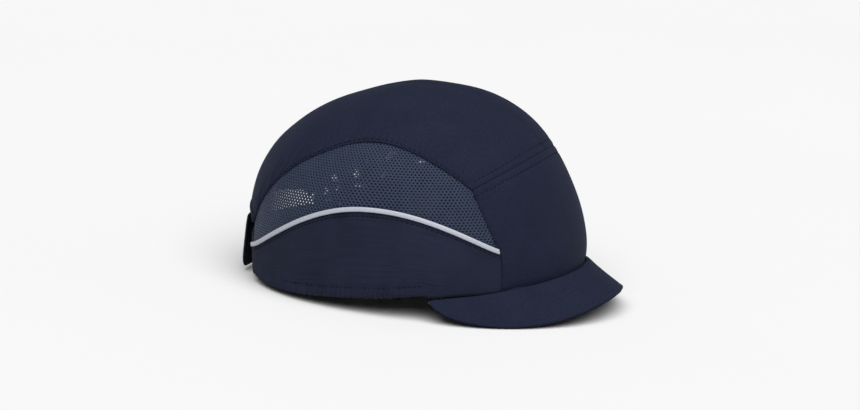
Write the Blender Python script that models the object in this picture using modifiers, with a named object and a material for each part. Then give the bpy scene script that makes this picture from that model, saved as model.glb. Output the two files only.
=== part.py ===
"""Bump cap with mesh sides and a micro peak.

The cap is modelled upright about its own hem plane, with the peak towards -Y and the wearer's left at +X.
An empty then leans it onto the tips of its peak and its rear hem, as it stands on a table.
"""

import math

import bmesh
import bpy
import numpy as np
from mathutils import Vector

# Outer form of the textile cap, in metres, measured from the hem plane
FRONT_REACH = 0.109
REAR_REACH = 0.107
HALF_WIDTH = 0.0875
CROWN_HEIGHT = 0.1164
PLAN_POWER = 2.1  # superellipse power of each level section
FRONT_PROFILE = (1.95, 2.64)  # reach = full reach * (1 - level ** a) ** (1 / b)
REAR_PROFILE = (3.36, 1.57)
SIDE_PROFILE = (2.63, 2.40)
TUCK = 0.03  # share by which the front hem is drawn in
TUCK_HEIGHT = 0.025

# How the cap stands
LEAN = math.radians(-3.7)
SHIFT_Y = 0.01202
LIFT = 0.01169

# Depths of the layers below the outer surface, and their walls
SEAM_GAP = 0.0003
FABRIC = 0.001
TAPE_DEPTH, TAPE = 0.0014, 0.0004
SHELL_DEPTH, SHELL = 0.0025, 0.002
PAD_DEPTH, PAD = 0.0054, 0.005
SWEATBAND = 0.0026
ELASTIC_DEPTH, ELASTIC = 0.005, 0.0008

# Seams, as angles round the cap from the front and heights above the hem plane
FRONT_EDGE_ANGLE = math.radians(44.8)
FRONT_EDGE_LEAN = math.radians(0.198) / 0.001  # turn per metre of height, above the bend
FRONT_EDGE_BEND = 0.026
FRONT_EDGE_TOP = 0.0645
REAR_EDGE_ANGLE = math.radians(147)
PIPING_FRONT, MESH_FRONT = 0.028, 0.0645
MESH_REAR = 0.0317
PIPING_HEIGHTS = (PIPING_FRONT, 0.0519, 0.0190)
MESH_HEIGHTS = (MESH_FRONT, 0.0899, MESH_REAR)
PIPING_FULLNESS = (1.22, 1.95)
MESH_FULLNESS = (1.0, 0.85)
PIPING_PEAK_ANGLE = math.radians(90)
MESH_PEAK_ANGLE = math.radians(92)
FRONT_SEAM_RISE = 0.0157
ARCH_RISE = 0.0085

# Trim
PIPING_RADIUS = 0.0013
PIPING_PROUD = 0.0005
PIPING_SLOT = 0.00215
BINDING_RADIUS = 0.001
BINDING_INSET = math.radians(1.7)
SWEATBAND_HEIGHT = 0.027
ELASTIC_HEIGHT = 0.007
ELASTIC_RISE = 0.0015
ELASTIC_FROM, ELASTIC_TO = math.radians(78), math.radians(126)

# Peak
PEAK_HALF_ANGLE = math.radians(70)
PEAK_LENGTH, PEAK_SIDE_LENGTH = 0.0292, 0.0226
PEAK_SLOPE, PEAK_SIDE_SLOPE = math.radians(34), math.radians(68)
PEAK_TAPER, PEAK_SLOPE_POWER = 3.66, 6
PEAK_DROP = 0.0020
PEAK_COVER, PEAK_BOARD = 0.0007, 0.0014
PEAK_END = 0.997

# Closure at the rear, an arc about an upright axis
STRAP_CENTRE = (-0.002, 0.0275)
STRAP_RADIUS, STRAP = 0.0794, 0.0015
STRAP_LOW, STRAP_HIGH = -0.0035, 0.0245
TAB_LOW, TAB_HIGH = -0.0045, 0.0305
TAB_ROOT, TAB_END = math.radians(3.0), math.radians(23.1)
FOLD_GAP = math.radians(1.5)
STRAP_TAIL = math.radians(-50)
PATCH = 0.0007
LOOP_STRAP = 0.0013
LOOP_FROM, LOOP_TO = math.radians(-34), math.radians(50)

# Seam tapes
TAPE_WIDTH = 0.012
CENTRE_TAPE_REAR_GAP = 0.004

# Pads: half widths as angles, and heights above the hem plane
CROWN_PAD_DROP = 0.115
CROWN_PAD_FLAT = 0.1066
BROW_HALF_ANGLE, BROW_TOP = math.radians(36), 0.078
BROW_GAP = 0.003
NAPE_HALF_ANGLE, NAPE_LOW, NAPE_TOP = math.radians(22), 0.054, 0.084
TEMPLE_FROM, TEMPLE_TO = math.radians(52), math.radians(94)
TEMPLE_GAP, TEMPLE_TOP, TEMPLE_TOP_SHARE = 0.002, 0.0455, 0.25
SWEATBAND_HALF_ANGLE = math.radians(74)
SWEATBAND_INSET = 0.001

# Vents in the shell
SIDE_VENT_WIDTH, SIDE_VENT_HEIGHT = 0.010, 0.018
SIDE_VENTS = 5
SIDE_VENT_PITCH, SIDE_VENT_SHIFT = 0.0182, -0.010
SIDE_VENT_MIDDLE, SIDE_VENT_FALL = 0.0755, 0.0035  # height of the middle vent, and how the outer ones drop
TOP_VENT_LENGTH, TOP_VENT_WIDTH = 0.021, 0.007
TOP_VENTS, TOP_VENT_PITCH, TOP_VENT_START = 4, 0.030, -0.045
TOP_VENT_SIDE, TOP_VENT_HEIGHT, TOP_VENT_LEAN = 0.046, 0.112, math.radians(32)

parts = bpy.data.collections.new("bump_cap")
cutters = bpy.data.collections.new("bump_cap_cutters")


def clear_scene():
    for obj in list(bpy.data.objects):
        bpy.data.objects.remove(obj)
    bpy.context.scene.collection.children.link(parts)
    bpy.context.scene.collection.children.link(cutters)


def material(name, colour, roughness, metallic=0.0):
    made = bpy.data.materials.new(name)
    made.use_nodes = True
    shader = made.node_tree.nodes["Principled BSDF"]
    shader.inputs["Base Color"].default_value = (*colour, 1.0)
    shader.inputs["Roughness"].default_value = roughness
    shader.inputs["Metallic"].default_value = metallic
    made.diffuse_color = (*colour, 1.0)
    return made


def signed_power(value, power):
    return np.sign(value) * np.abs(value) ** power


def cap_surface(angle, height):
    """The outer surface: a superellipse in plan whose reach shrinks with height by its own law on each side."""
    level = np.clip(height / CROWN_HEIGHT, 0.0, 1.0)
    front, rear, side = (
        reach * (1.0 - level**rise) ** (1.0 / fall)
        for reach, (rise, fall) in (
            (FRONT_REACH, FRONT_PROFILE),
            (REAR_REACH, REAR_PROFILE),
            (HALF_WIDTH, SIDE_PROFILE),
        )
    )
    drawn_in = TUCK * (1 + np.cos(angle)) / 2 * np.clip(1 - height / TUCK_HEIGHT, 0, 1) ** 2
    forward = signed_power(np.cos(angle), 2 / PLAN_POWER)
    across = signed_power(np.sin(angle), 2 / PLAN_POWER)
    reach = np.where(forward > 0, front, rear)
    return np.stack([side * across * (1 - drawn_in), -reach * forward * (1 - drawn_in), height], -1)


def cap_layer(angle, height, depth):
    """A point at this depth below the outer surface, measured along its normal."""
    step = 1e-4
    low = np.minimum(height, CROWN_HEIGHT - 2 * step * CROWN_HEIGHT)
    round_it = cap_surface(angle + step, low) - cap_surface(angle - step, low)
    up_it = cap_surface(angle, low + step * CROWN_HEIGHT) - cap_surface(angle, low - step * CROWN_HEIGHT)
    normal = np.cross(round_it, up_it)
    normal /= np.linalg.norm(normal, axis=-1, keepdims=True)
    at_pole = (height > 0.9999 * CROWN_HEIGHT)[..., None]
    normal = np.where(at_pole, np.array([0.0, 0.0, 1.0]), normal)
    return cap_surface(angle, height) - depth * normal


def hem_height(angle):
    """The hem rises towards the front; it depends on how far forward the point lies."""
    forward = -cap_surface(angle, np.zeros_like(angle))[..., 1] / REAR_REACH
    return -0.0024 + 0.0081 * forward + 0.0043 * forward**2


def hump(angle, front_angle, peak_angle, rear_angle, heights, fullness):
    """A seam that swells from its front height to its top and falls to its rear height, flat at the top."""
    front, top, rear = heights
    ahead = np.clip((peak_angle - angle) / (peak_angle - front_angle), 0, 1)
    behind = np.clip((angle - peak_angle) / (rear_angle - peak_angle), 0, 1)
    fall_ahead = (top - front) * (1 - (1 - ahead**2) ** fullness[0])
    fall_behind = (top - rear) * (1 - (1 - behind**2) ** fullness[1])
    return top - fall_ahead - fall_behind


def front_edge(height):
    """The angle of the front panel's side edge: upright at first, then leaning back to the seam over the brow."""
    return FRONT_EDGE_ANGLE + FRONT_EDGE_LEAN * np.clip(height, FRONT_EDGE_BEND, FRONT_EDGE_TOP) \
        - FRONT_EDGE_LEAN * FRONT_EDGE_BEND


def piping_height(angle):
    start = front_edge(PIPING_FRONT)
    return hump(angle, start, PIPING_PEAK_ANGLE, REAR_EDGE_ANGLE, PIPING_HEIGHTS, PIPING_FULLNESS)


def mesh_top_height(angle):
    start = front_edge(MESH_FRONT)
    return hump(angle, start, MESH_PEAK_ANGLE, REAR_EDGE_ANGLE, MESH_HEIGHTS, MESH_FULLNESS)


def front_seam_height(angle):
    corner = front_edge(FRONT_EDGE_TOP)
    return FRONT_EDGE_TOP + FRONT_SEAM_RISE * (1 - np.abs(angle / corner) ** 2)


def arch_height(angle):
    """The top of the rear opening, a flat arch."""
    share = np.clip((math.pi - angle) / (math.pi - REAR_EDGE_ANGLE), 0, 1)
    return MESH_REAR + ARCH_RISE * (1 - share**3) ** (1 / 2)


def crown_low_height(angle):
    corner = front_edge(FRONT_EDGE_TOP)
    return np.where(
        angle < corner,
        front_seam_height(angle),
        np.where(angle < REAR_EDGE_ANGLE, mesh_top_height(angle), arch_height(angle)),
    )


def shell_low_height(angle):
    """The shell's edge: low over the brow, high behind the ears, with a tongue at the back of the head."""
    turn = np.degrees(np.abs(angle))
    return np.interp(turn, [0, 45, 70, 95, 112, 150, 163, 180], [0.023, 0.022, 0.036, 0.052, 0.060, 0.060, 0.050, 0.048])


def place(obj, finish, parent, pivot=(0, 0, 0)):
    obj.data.materials.append(finish)
    obj.parent = parent
    obj.location = [-value for value in pivot]
    parts.objects.link(obj)
    return obj


def patch(name, columns, rows, surface, wall, finish, parent, pivot=(0, 0, 0), inside=(0, 0, 0.03)):
    """A grid laid on a surface of two parameters, with its wall inwards. The inside point says which way that is."""
    bm = bmesh.new()
    bmesh.ops.create_grid(bm, x_segments=columns, y_segments=rows, size=0.5)
    flat = np.array([vertex.co[:2] for vertex in bm.verts]) + 0.5
    for vertex, point in zip(bm.verts, surface(flat[:, 0], flat[:, 1])):
        vertex.co = point
    bmesh.ops.remove_doubles(bm, verts=bm.verts, dist=2e-6)
    bmesh.ops.recalc_face_normals(bm, faces=bm.faces)
    centre = Vector(inside)
    outward = sum(face.normal.dot(face.calc_center_median() - centre) for face in bm.faces)
    if outward < 0:
        bmesh.ops.reverse_faces(bm, faces=bm.faces)
    mesh = bpy.data.meshes.new(name)
    bm.to_mesh(mesh)
    bm.free()
    mesh.shade_smooth()
    mesh.set_sharp_from_angle(angle=math.radians(40))
    obj = bpy.data.objects.new(name, mesh)
    solid = obj.modifiers.new("wall", "SOLIDIFY")
    solid.thickness = wall
    solid.offset = -1
    solid.use_even_offset = True
    return place(obj, finish, parent, pivot)


def cap_patch(name, columns, rows, spot, depth, wall, finish, parent, side=1):
    """A patch of a layer of the cap. The spot function gives angle and height for its two parameters."""

    def surface(u, v):
        turn, height = spot(u, v)
        return cap_layer(side * turn, height, depth)

    return patch(name, columns, rows, surface, wall, finish, parent)


def tube(name, points, radius, finish, parent):
    curve = bpy.data.curves.new(name, "CURVE")
    curve.dimensions = "3D"
    curve.bevel_depth = radius
    curve.bevel_resolution = 1
    curve.use_fill_caps = True
    spline = curve.splines.new("POLY")
    spline.points.add(len(points) - 1)
    spline.points.foreach_set("co", np.column_stack([points, np.ones(len(points))]).ravel())
    return place(bpy.data.objects.new(name, curve), finish, parent)


def between(low, high, share):
    return low + (high - low) * share


def front_panel(finish, parent):
    gap = SEAM_GAP / FRONT_REACH
    hem_corner = hem_height(FRONT_EDGE_ANGLE)

    def spot(u, v):
        across = 2 * u - 1
        low = hem_height(across * FRONT_EDGE_ANGLE) + SEAM_GAP
        high = front_seam_height(across * front_edge(FRONT_EDGE_TOP)) - SEAM_GAP
        return across * (front_edge(between(hem_corner, FRONT_EDGE_TOP, v)) - gap), between(low, high, v)

    cap_patch("front_panel", 16, 7, spot, 0.0, FABRIC, finish, parent)


def side_spot(u, v, low, high, low_start, high_start, trim_low, trim_high):
    """Between two seams, from the leaning front edge to the upright rear edge."""
    gap = 2 * SEAM_GAP / HALF_WIDTH
    edge = front_edge(between(low_start + trim_low, high_start - trim_high, v)) + gap
    turn = between(edge, REAR_EDGE_ANGLE, u)
    bottom = low(between(front_edge(low_start), REAR_EDGE_ANGLE, u)) + trim_low
    top = high(between(front_edge(high_start), REAR_EDGE_ANGLE, u)) - trim_high
    return turn, between(bottom, top, v)


def side_panels(finish, parent):
    def spot(u, v):
        return side_spot(
            u, v, hem_height, piping_height, hem_height(FRONT_EDGE_ANGLE), PIPING_FRONT, SEAM_GAP, PIPING_SLOT
        )

    for name, side in (("left", 1), ("right", -1)):
        cap_patch(f"side_panel_{name}", 14, 4, spot, 0.0, FABRIC, finish, parent, side)


def mesh_panels(finish, parent):
    def spot(u, v):
        return side_spot(u, v, piping_height, mesh_top_height, PIPING_FRONT, MESH_FRONT, PIPING_SLOT, SEAM_GAP)

    for name, side in (("left", 1), ("right", -1)):
        cap_patch(f"mesh_panel_{name}", 14, 5, spot, 0.0, FABRIC, finish, parent, side)


def crown_panels(finish, parent):
    """Each half runs from its seams up to the top of the head and stops short of the centre line."""
    corner = float(front_edge(FRONT_EDGE_TOP))
    stops = np.concatenate(
        [
            np.linspace(0, corner, 9),
            np.linspace(corner, REAR_EDGE_ANGLE, 15)[1:],
            np.linspace(REAR_EDGE_ANGLE, math.pi, 6)[1:],
        ]
    )
    columns = len(stops) - 1
    for name, side in (("left", 1), ("right", -1)):

        def surface(u, v):
            turn = np.interp(u * columns, np.arange(columns + 1), stops)
            low = crown_low_height(turn) + SEAM_GAP
            reach = 1 - v
            height = CROWN_HEIGHT * (1 - (1 - low / CROWN_HEIGHT) * reach**1.9)
            point = cap_layer(side * turn, np.minimum(height, CROWN_HEIGHT), 0.0)
            point[:, 0] = side * np.maximum(side * point[:, 0], SEAM_GAP / 2)
            return point

        patch(f"crown_panel_{name}", columns, 8, surface, FABRIC, finish, parent)


def piping(finish, parent):
    turns = np.linspace(front_edge(PIPING_FRONT) + 0.012, REAR_EDGE_ANGLE - 0.012, 29)
    for name, side in (("left", 1), ("right", -1)):
        points = cap_layer(side * turns, piping_height(turns), -PIPING_PROUD)
        tube(f"piping_{name}", points, PIPING_RADIUS, finish, parent)


def seam_tapes(finish, parent):
    corner = float(front_edge(FRONT_EDGE_TOP))

    def front_spot(u, v):
        turn = between(-corner, corner, u)
        return turn, front_seam_height(turn) + TAPE_WIDTH * (v - 0.5)

    cap_patch("front_seam_tape", 16, 1, front_spot, TAPE_DEPTH, TAPE, finish, parent)

    def centre_surface(u, v):
        """A band over the head: each cross line keeps its distance from the middle of the cap."""
        front_low = front_seam_height(np.array(0.0)) + TAPE_WIDTH / 2 + SEAM_GAP * 2
        rear_low = arch_height(np.array(math.pi)) + CENTRE_TAPE_REAR_GAP
        along = 2 * u - 1
        low = np.where(along < 0, front_low, rear_low)
        height = CROWN_HEIGHT * (1 - (1 - low / CROWN_HEIGHT) * np.abs(along) ** 1.9)
        spine = cap_layer(np.where(along < 0, 0.0, math.pi), height, TAPE_DEPTH + SEAM_GAP)
        spine[:, 0] = (v - 0.5) * TAPE_WIDTH
        spine[:, 2] -= spine[:, 0] ** 2 / CROWN_HEIGHT
        return spine

    patch("centre_seam_tape", 22, 2, centre_surface, TAPE, finish, parent)


def rear_arch_binding(finish, parent):
    """A round binding that follows the arch just inside it."""
    offs = np.linspace(-1, 1, 21)
    turns = math.pi + offs * (math.pi - REAR_EDGE_ANGLE - BINDING_INSET)
    heights = MESH_REAR + ARCH_RISE * (1 - np.abs(offs) ** 3) ** (1 / 2) - BINDING_RADIUS - 2 * SEAM_GAP
    tube("rear_arch_binding", cap_layer(turns, heights, SEAM_GAP), BINDING_RADIUS, finish, parent)


def hem_elastics(finish, parent):
    def spot(u, v):
        turn = between(ELASTIC_FROM, ELASTIC_TO, u)
        return turn, hem_height(turn) + ELASTIC_RISE + ELASTIC_HEIGHT * v

    for name, side in (("left", 1), ("right", -1)):
        cap_patch(f"hem_elastic_{name}", 8, 1, spot, ELASTIC_DEPTH, ELASTIC, finish, parent, side)


def peak_surface(u, v, drop):
    """From the hem outwards: the slope steepens and the reach dies away towards the ends of the peak."""
    share = PEAK_END * (2 * u - 1)
    turn = share * PEAK_HALF_ANGLE
    root = cap_surface(turn, hem_height(turn))
    step = 1e-4
    along = cap_surface(turn + step, hem_height(turn + step)) - root
    outward = np.stack([along[:, 1], -along[:, 0], np.zeros_like(turn)], -1)
    outward /= np.linalg.norm(outward, axis=-1, keepdims=True)
    reach = between(PEAK_LENGTH, PEAK_SIDE_LENGTH, share**2) * np.sqrt(1 - np.abs(share) ** PEAK_TAPER)
    slope = between(PEAK_SLOPE, PEAK_SIDE_SLOPE, 1 - (1 - share**2) ** PEAK_SLOPE_POWER)
    ahead = np.cos(slope)[:, None] * outward - np.sin(slope)[:, None] * np.array([0, 0, 1.0])
    normal = np.sin(slope)[:, None] * outward + np.cos(slope)[:, None] * np.array([0, 0, 1.0])
    start = root - np.array([0, 0, PEAK_DROP])
    middle = start + v[:, None] * (root + reach[:, None] * ahead - start)
    return middle + (0.0015 - drop) * normal


def peak(cover, board, parent):
    below = (0, -0.06, -0.15)
    layers = (
        ("peak_top_cover", 0.0, PEAK_COVER, cover),
        ("peak_board", PEAK_COVER + SEAM_GAP, PEAK_BOARD, board),
        ("peak_under_cover", PEAK_COVER + PEAK_BOARD + 2 * SEAM_GAP, PEAK_COVER, cover),
    )
    for name, drop, wall, finish in layers:
        patch(name, 22, 3, lambda u, v: peak_surface(u, v, drop), wall, finish, parent, inside=below)


def slot_cutter(name, length, width, depth, location, rotation):
    """A stadium-shaped cutter: an outline with two round ends, extruded."""
    outline = bpy.data.curves.new(name, "CURVE")
    outline.dimensions = "2D"
    outline.fill_mode = "BOTH"
    outline.extrude = depth / 2
    half = length / 2 - width / 2
    arc = np.linspace(-math.pi / 2, math.pi / 2, 6)
    right = np.column_stack([half + width / 2 * np.cos(arc), width / 2 * np.sin(arc)])
    points = np.vstack([right, -right])
    spline = outline.splines.new("POLY")
    spline.use_cyclic_u = True
    spline.points.add(len(points) - 1)
    spline.points.foreach_set("co", np.column_stack([points, np.zeros(len(points)), np.ones(len(points))]).ravel())
    guide = bpy.data.objects.new(name + "_outline", outline)
    cutters.objects.link(guide)
    bpy.context.view_layer.update()
    mesh = bpy.data.meshes.new_from_object(guide.evaluated_get(bpy.context.evaluated_depsgraph_get()))
    bpy.data.objects.remove(guide)
    bm = bmesh.new()
    bm.from_mesh(mesh)
    bmesh.ops.remove_doubles(bm, verts=bm.verts, dist=1e-5)
    bmesh.ops.recalc_face_normals(bm, faces=bm.faces)
    bm.to_mesh(mesh)
    bm.free()
    cutter = bpy.data.objects.new(name, mesh)
    cutter.location = location
    cutter.rotation_euler = rotation
    cutter.hide_render = True
    cutter.display_type = "WIRE"
    cutters.objects.link(cutter)
    return cutter


def hard_shell(finish, parent):
    columns = 44

    def surface(u, v):
        turn = between(-math.pi, math.pi, u)
        low = shell_low_height(turn)
        height = CROWN_HEIGHT * (1 - (1 - low / CROWN_HEIGHT) * (1 - v) ** 1.9)
        return cap_layer(turn, np.minimum(height, CROWN_HEIGHT), SHELL_DEPTH)

    shell = patch("hard_shell", columns, 10, surface, SHELL, finish, parent)
    upright = (math.radians(90), math.radians(90), math.radians(90))
    for index in range(SIDE_VENTS):
        from_middle = index - (SIDE_VENTS - 1) / 2
        along = SIDE_VENT_PITCH * from_middle + SIDE_VENT_SHIFT
        rise = SIDE_VENT_MIDDLE - SIDE_VENT_FALL * from_middle**2
        slot_cutter(
            f"side_vent_{index + 1}", SIDE_VENT_HEIGHT, SIDE_VENT_WIDTH, 0.3, (0, along, rise), upright
        ).parent = parent
    for index in range(TOP_VENTS):
        along = TOP_VENT_START + TOP_VENT_PITCH * index
        for side in (-1, 1):
            slot_cutter(
                f"top_vent_{index + 1}_{side}",
                TOP_VENT_LENGTH,
                TOP_VENT_WIDTH,
                0.06,
                (side * TOP_VENT_SIDE, along, TOP_VENT_HEIGHT),
                (0, side * TOP_VENT_LEAN, math.radians(90)),
            ).parent = parent
    cut = shell.modifiers.new("vents", "BOOLEAN")
    cut.operation = "DIFFERENCE"
    cut.operand_type = "COLLECTION"
    cut.collection = cutters
    cut.solver = "EXACT"


def pads(foam, parent):
    def disc(u, v):
        """Domed like the shell, and flat in the middle, where the top of the head bears on it."""
        height = CROWN_HEIGHT * (1 - CROWN_PAD_DROP * (1 - v) ** 1.9)
        point = cap_layer(between(-math.pi, math.pi, u), height, PAD_DEPTH)
        point[:, 2] = np.minimum(point[:, 2], CROWN_PAD_FLAT)
        return point

    patch("crown_pad", 24, 4, disc, PAD, foam, parent)

    def padded(name, columns, rows, first, last, low, high, side=1):
        def spot(u, v):
            turn = between(first, last, u)
            return turn, between(low(turn), high(turn), v)

        cap_patch(name, columns, rows, spot, PAD_DEPTH, PAD, foam, parent, side)

    padded(
        "front_pad",
        8,
        4,
        -BROW_HALF_ANGLE,
        BROW_HALF_ANGLE,
        lambda turn: hem_height(turn) + SWEATBAND_HEIGHT + BROW_GAP,
        lambda turn: np.full_like(turn, BROW_TOP),
    )
    padded(
        "rear_pad",
        6,
        3,
        math.pi - NAPE_HALF_ANGLE,
        math.pi + NAPE_HALF_ANGLE,
        lambda turn: np.full_like(turn, NAPE_LOW),
        lambda turn: np.full_like(turn, NAPE_TOP),
    )
    for name, side in (("left", 1), ("right", -1)):
        padded(
            f"side_pad_{name}",
            5,
            2,
            TEMPLE_FROM,
            TEMPLE_TO,
            lambda turn: np.maximum(
                shell_low_height(turn), hem_height(turn) + SWEATBAND_HEIGHT + SWEATBAND_INSET
            ) + TEMPLE_GAP,
            lambda turn: shell_low_height(turn) * TEMPLE_TOP_SHARE + TEMPLE_TOP,
            side,
        )


def sweatband(finish, parent):
    def spot(u, v):
        turn = between(-SWEATBAND_HALF_ANGLE, SWEATBAND_HALF_ANGLE, u)
        return turn, hem_height(turn) + SWEATBAND_INSET + SWEATBAND_HEIGHT * v

    cap_patch("sweatband", 18, 3, spot, PAD_DEPTH, SWEATBAND, finish, parent)


def strap_arc(name, radius, wall, first, last, low, high, finish, parent, pivot=(0, 0, 0), round_end=0.0):
    """A band along the arc of the closure. Its last end may be rounded over this length."""
    columns = max(2, round(abs(last - first) * radius / 0.0075))

    def surface(u, v):
        turn = between(first, last, u)
        left = abs(last - first) * (1 - u) * radius
        if round_end:
            pinch = np.clip(1 - left / round_end, 0, 1)
            inset = round_end * (1 - np.sqrt(1 - 0.96 * pinch**2)) * 0.8
        else:
            inset = 0.0
        height = between(low + inset, high - inset, v)
        return np.stack(
            [STRAP_CENTRE[0] - radius * np.sin(turn), STRAP_CENTRE[1] + radius * np.cos(turn), height], -1
        )

    return patch(name, columns, 2, surface, wall, finish, parent, pivot, inside=(*STRAP_CENTRE, 0.01))


def closure(webbing, pile, label, parent):
    middle = (STRAP_LOW + STRAP_HIGH) / 2
    hook_radius = STRAP_RADIUS - STRAP - SEAM_GAP
    pile_radius = hook_radius - PATCH - SEAM_GAP
    loop_radius = pile_radius - PATCH - SEAM_GAP
    strap_arc("loop_strap", loop_radius, LOOP_STRAP, LOOP_FROM, LOOP_TO, STRAP_LOW, STRAP_HIGH, webbing, parent)
    strap_arc(
        "loop_patch",
        pile_radius,
        PATCH,
        LOOP_FROM + math.radians(3),
        math.radians(33),
        STRAP_LOW + 0.002,
        STRAP_HIGH - 0.002,
        pile,
        parent,
    )
    label_radius = loop_radius - LOOP_STRAP - SEAM_GAP
    strap_arc("size_label", label_radius, 0.0005, -0.11, 0.11, middle - 0.007, middle + 0.007, label, parent)

    slide_at = (*STRAP_CENTRE, middle)
    slide = bpy.data.objects.new("strap_slide_axis", None)
    slide.location = slide_at
    slide.parent = parent
    parts.objects.link(slide)
    strap_arc(
        "adjuster_strap",
        STRAP_RADIUS,
        STRAP,
        TAB_ROOT - FOLD_GAP,
        STRAP_TAIL,
        STRAP_LOW,
        STRAP_HIGH,
        webbing,
        slide,
        slide_at,
    )

    fold_at = (
        STRAP_CENTRE[0] - STRAP_RADIUS * math.sin(TAB_ROOT),
        STRAP_CENTRE[1] + STRAP_RADIUS * math.cos(TAB_ROOT),
        middle,
    )
    fold = bpy.data.objects.new("tab_fold_axis", None)
    fold.location = [value - start for value, start in zip(fold_at, slide_at)]
    fold.parent = slide
    parts.objects.link(fold)
    strap_arc(
        "pull_tab", STRAP_RADIUS, STRAP, TAB_ROOT, TAB_END, TAB_LOW, TAB_HIGH, webbing, fold, fold_at, 0.009
    )
    strap_arc(
        "hook_patch",
        hook_radius,
        PATCH,
        TAB_ROOT + math.radians(1.5),
        TAB_END - math.radians(3.5),
        STRAP_LOW + 0.002,
        STRAP_HIGH - 0.002,
        pile,
        fold,
        fold_at,
    )


def main():
    clear_scene()
    stand = bpy.data.objects.new("cap_stand", None)
    stand.rotation_euler = (LEAN, 0, 0)
    stand.location = (0, SHIFT_Y, LIFT)
    parts.objects.link(stand)

    navy = material("navy_fabric", (0.023, 0.027, 0.052), 0.8)
    dark_navy = material("navy_side_fabric", (0.019, 0.023, 0.047), 0.85)
    mesh_knit = material("navy_mesh", (0.034, 0.045, 0.078), 0.6)
    reflective = material("reflective_piping", (0.50, 0.51, 0.60), 0.35)
    tape = material("seam_tape", (0.012, 0.014, 0.022), 0.8)
    elastic = material("black_elastic", (0.01, 0.01, 0.012), 0.85)
    board = material("peak_board_plastic", (0.05, 0.05, 0.055), 0.5)
    towelling = material("black_towelling", (0.012, 0.012, 0.014), 0.95)
    shell = material("black_shell", (0.015, 0.015, 0.017), 0.4)
    foam = material("black_foam", (0.02, 0.02, 0.022), 0.9)
    webbing = material("navy_webbing", (0.012, 0.013, 0.02), 0.8)
    pile = material("hook_and_loop", (0.008, 0.008, 0.01), 0.95)
    label = material("blank_label", (0.6, 0.6, 0.58), 0.7)

    front_panel(navy, stand)
    crown_panels(navy, stand)
    mesh_panels(mesh_knit, stand)
    side_panels(dark_navy, stand)
    piping(reflective, stand)
    seam_tapes(tape, stand)
    rear_arch_binding(tape, stand)
    hem_elastics(elastic, stand)
    peak(navy, board, stand)
    sweatband(towelling, stand)
    hard_shell(shell, stand)
    pads(foam, stand)
    closure(webbing, pile, label, stand)


main()
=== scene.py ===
"""The finished look of the bump cap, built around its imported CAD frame.

It is laid out as an add-on: sizes and colours are properties, each piece or group of pieces is an operator.
The cap's own frame is upright about its hem plane, with the peak towards -Y and the wearer's left at +X.
"""

import math

import bmesh
import bpy
import numpy as np
from mathutils import Euler, Matrix


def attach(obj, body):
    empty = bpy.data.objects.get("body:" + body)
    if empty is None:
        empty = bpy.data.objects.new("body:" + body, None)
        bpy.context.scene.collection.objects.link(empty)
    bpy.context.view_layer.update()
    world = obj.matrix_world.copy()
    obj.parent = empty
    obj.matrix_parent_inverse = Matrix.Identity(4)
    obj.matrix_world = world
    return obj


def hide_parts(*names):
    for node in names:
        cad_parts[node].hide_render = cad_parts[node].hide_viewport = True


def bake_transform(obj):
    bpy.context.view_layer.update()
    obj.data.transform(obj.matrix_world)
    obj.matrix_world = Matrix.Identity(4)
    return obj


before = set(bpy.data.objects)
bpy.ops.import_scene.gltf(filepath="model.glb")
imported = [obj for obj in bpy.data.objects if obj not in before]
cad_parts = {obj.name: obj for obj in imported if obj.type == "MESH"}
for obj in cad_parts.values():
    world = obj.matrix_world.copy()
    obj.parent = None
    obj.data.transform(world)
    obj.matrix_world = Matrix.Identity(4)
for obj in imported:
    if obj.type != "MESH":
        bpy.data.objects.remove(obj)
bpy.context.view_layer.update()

bl_info = {
    "name": "Bump Cap Finish",
    "version": (1, 0, 0),
    "blender": (4, 5, 0),
    "location": "View3D > Sidebar > Bump Cap",
    "description": "Cloth, trim and padding for a bump cap with mesh sides and a micro peak",
    "category": "Object",
}

# Outer form of the textile cap, in metres above the hem plane
FRONT_REACH, REAR_REACH, HALF_WIDTH = 0.109, 0.107, 0.0875
CROWN_HEIGHT = 0.1164
PLAN_POWER = 2.1
FRONT_PROFILE, REAR_PROFILE, SIDE_PROFILE = (1.95, 2.64), (3.36, 1.57), (2.63, 2.40)
TUCK, TUCK_HEIGHT = 0.03, 0.025
LEAN, SHIFT_Y, LIFT = math.radians(-3.7), 0.01202, 0.01169

# Depths of the layers
SEAM_GAP = 0.00016
FABRIC = 0.0009
SHELL_DEPTH, SHELL = 0.0025, 0.002
PAD_DEPTH, PAD = 0.0054, 0.005
SWEATBAND, SWEATBAND_HEIGHT = 0.0026, 0.027

# Seams
FRONT_EDGE_ANGLE = math.radians(44.8)
FRONT_EDGE_LEAN = math.radians(0.198) / 0.001
FRONT_EDGE_BEND, FRONT_EDGE_TOP = 0.026, 0.0645
REAR_EDGE_ANGLE = math.radians(147)
PIPING_FRONT, MESH_FRONT, MESH_REAR = 0.028, 0.0645, 0.0317
PIPING_HEIGHTS = (PIPING_FRONT, 0.0519, 0.0190)
MESH_HEIGHTS = (MESH_FRONT, 0.0899, MESH_REAR)
PIPING_FULLNESS, MESH_FULLNESS = (1.22, 1.95), (1.0, 0.85)
PIPING_PEAK_ANGLE, MESH_PEAK_ANGLE = math.radians(90), math.radians(92)
FRONT_SEAM_RISE, ARCH_RISE = 0.0157, 0.0085
PIPING_FALL, PIPING_FALL_ANGLE = 0.0019, math.radians(130)
HEM_OVERLAP, HEM_SIDE_OVERLAP = 0.0025, 0.0008  # how far the panels run down behind the peak
HEM_RAISE = 0.0013  # room for the gathers below the hem
HEM_CORNER_RISE, HEM_CORNER_ANGLE = 0.0048, math.radians(112)  # the hem's round rear corner

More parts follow.
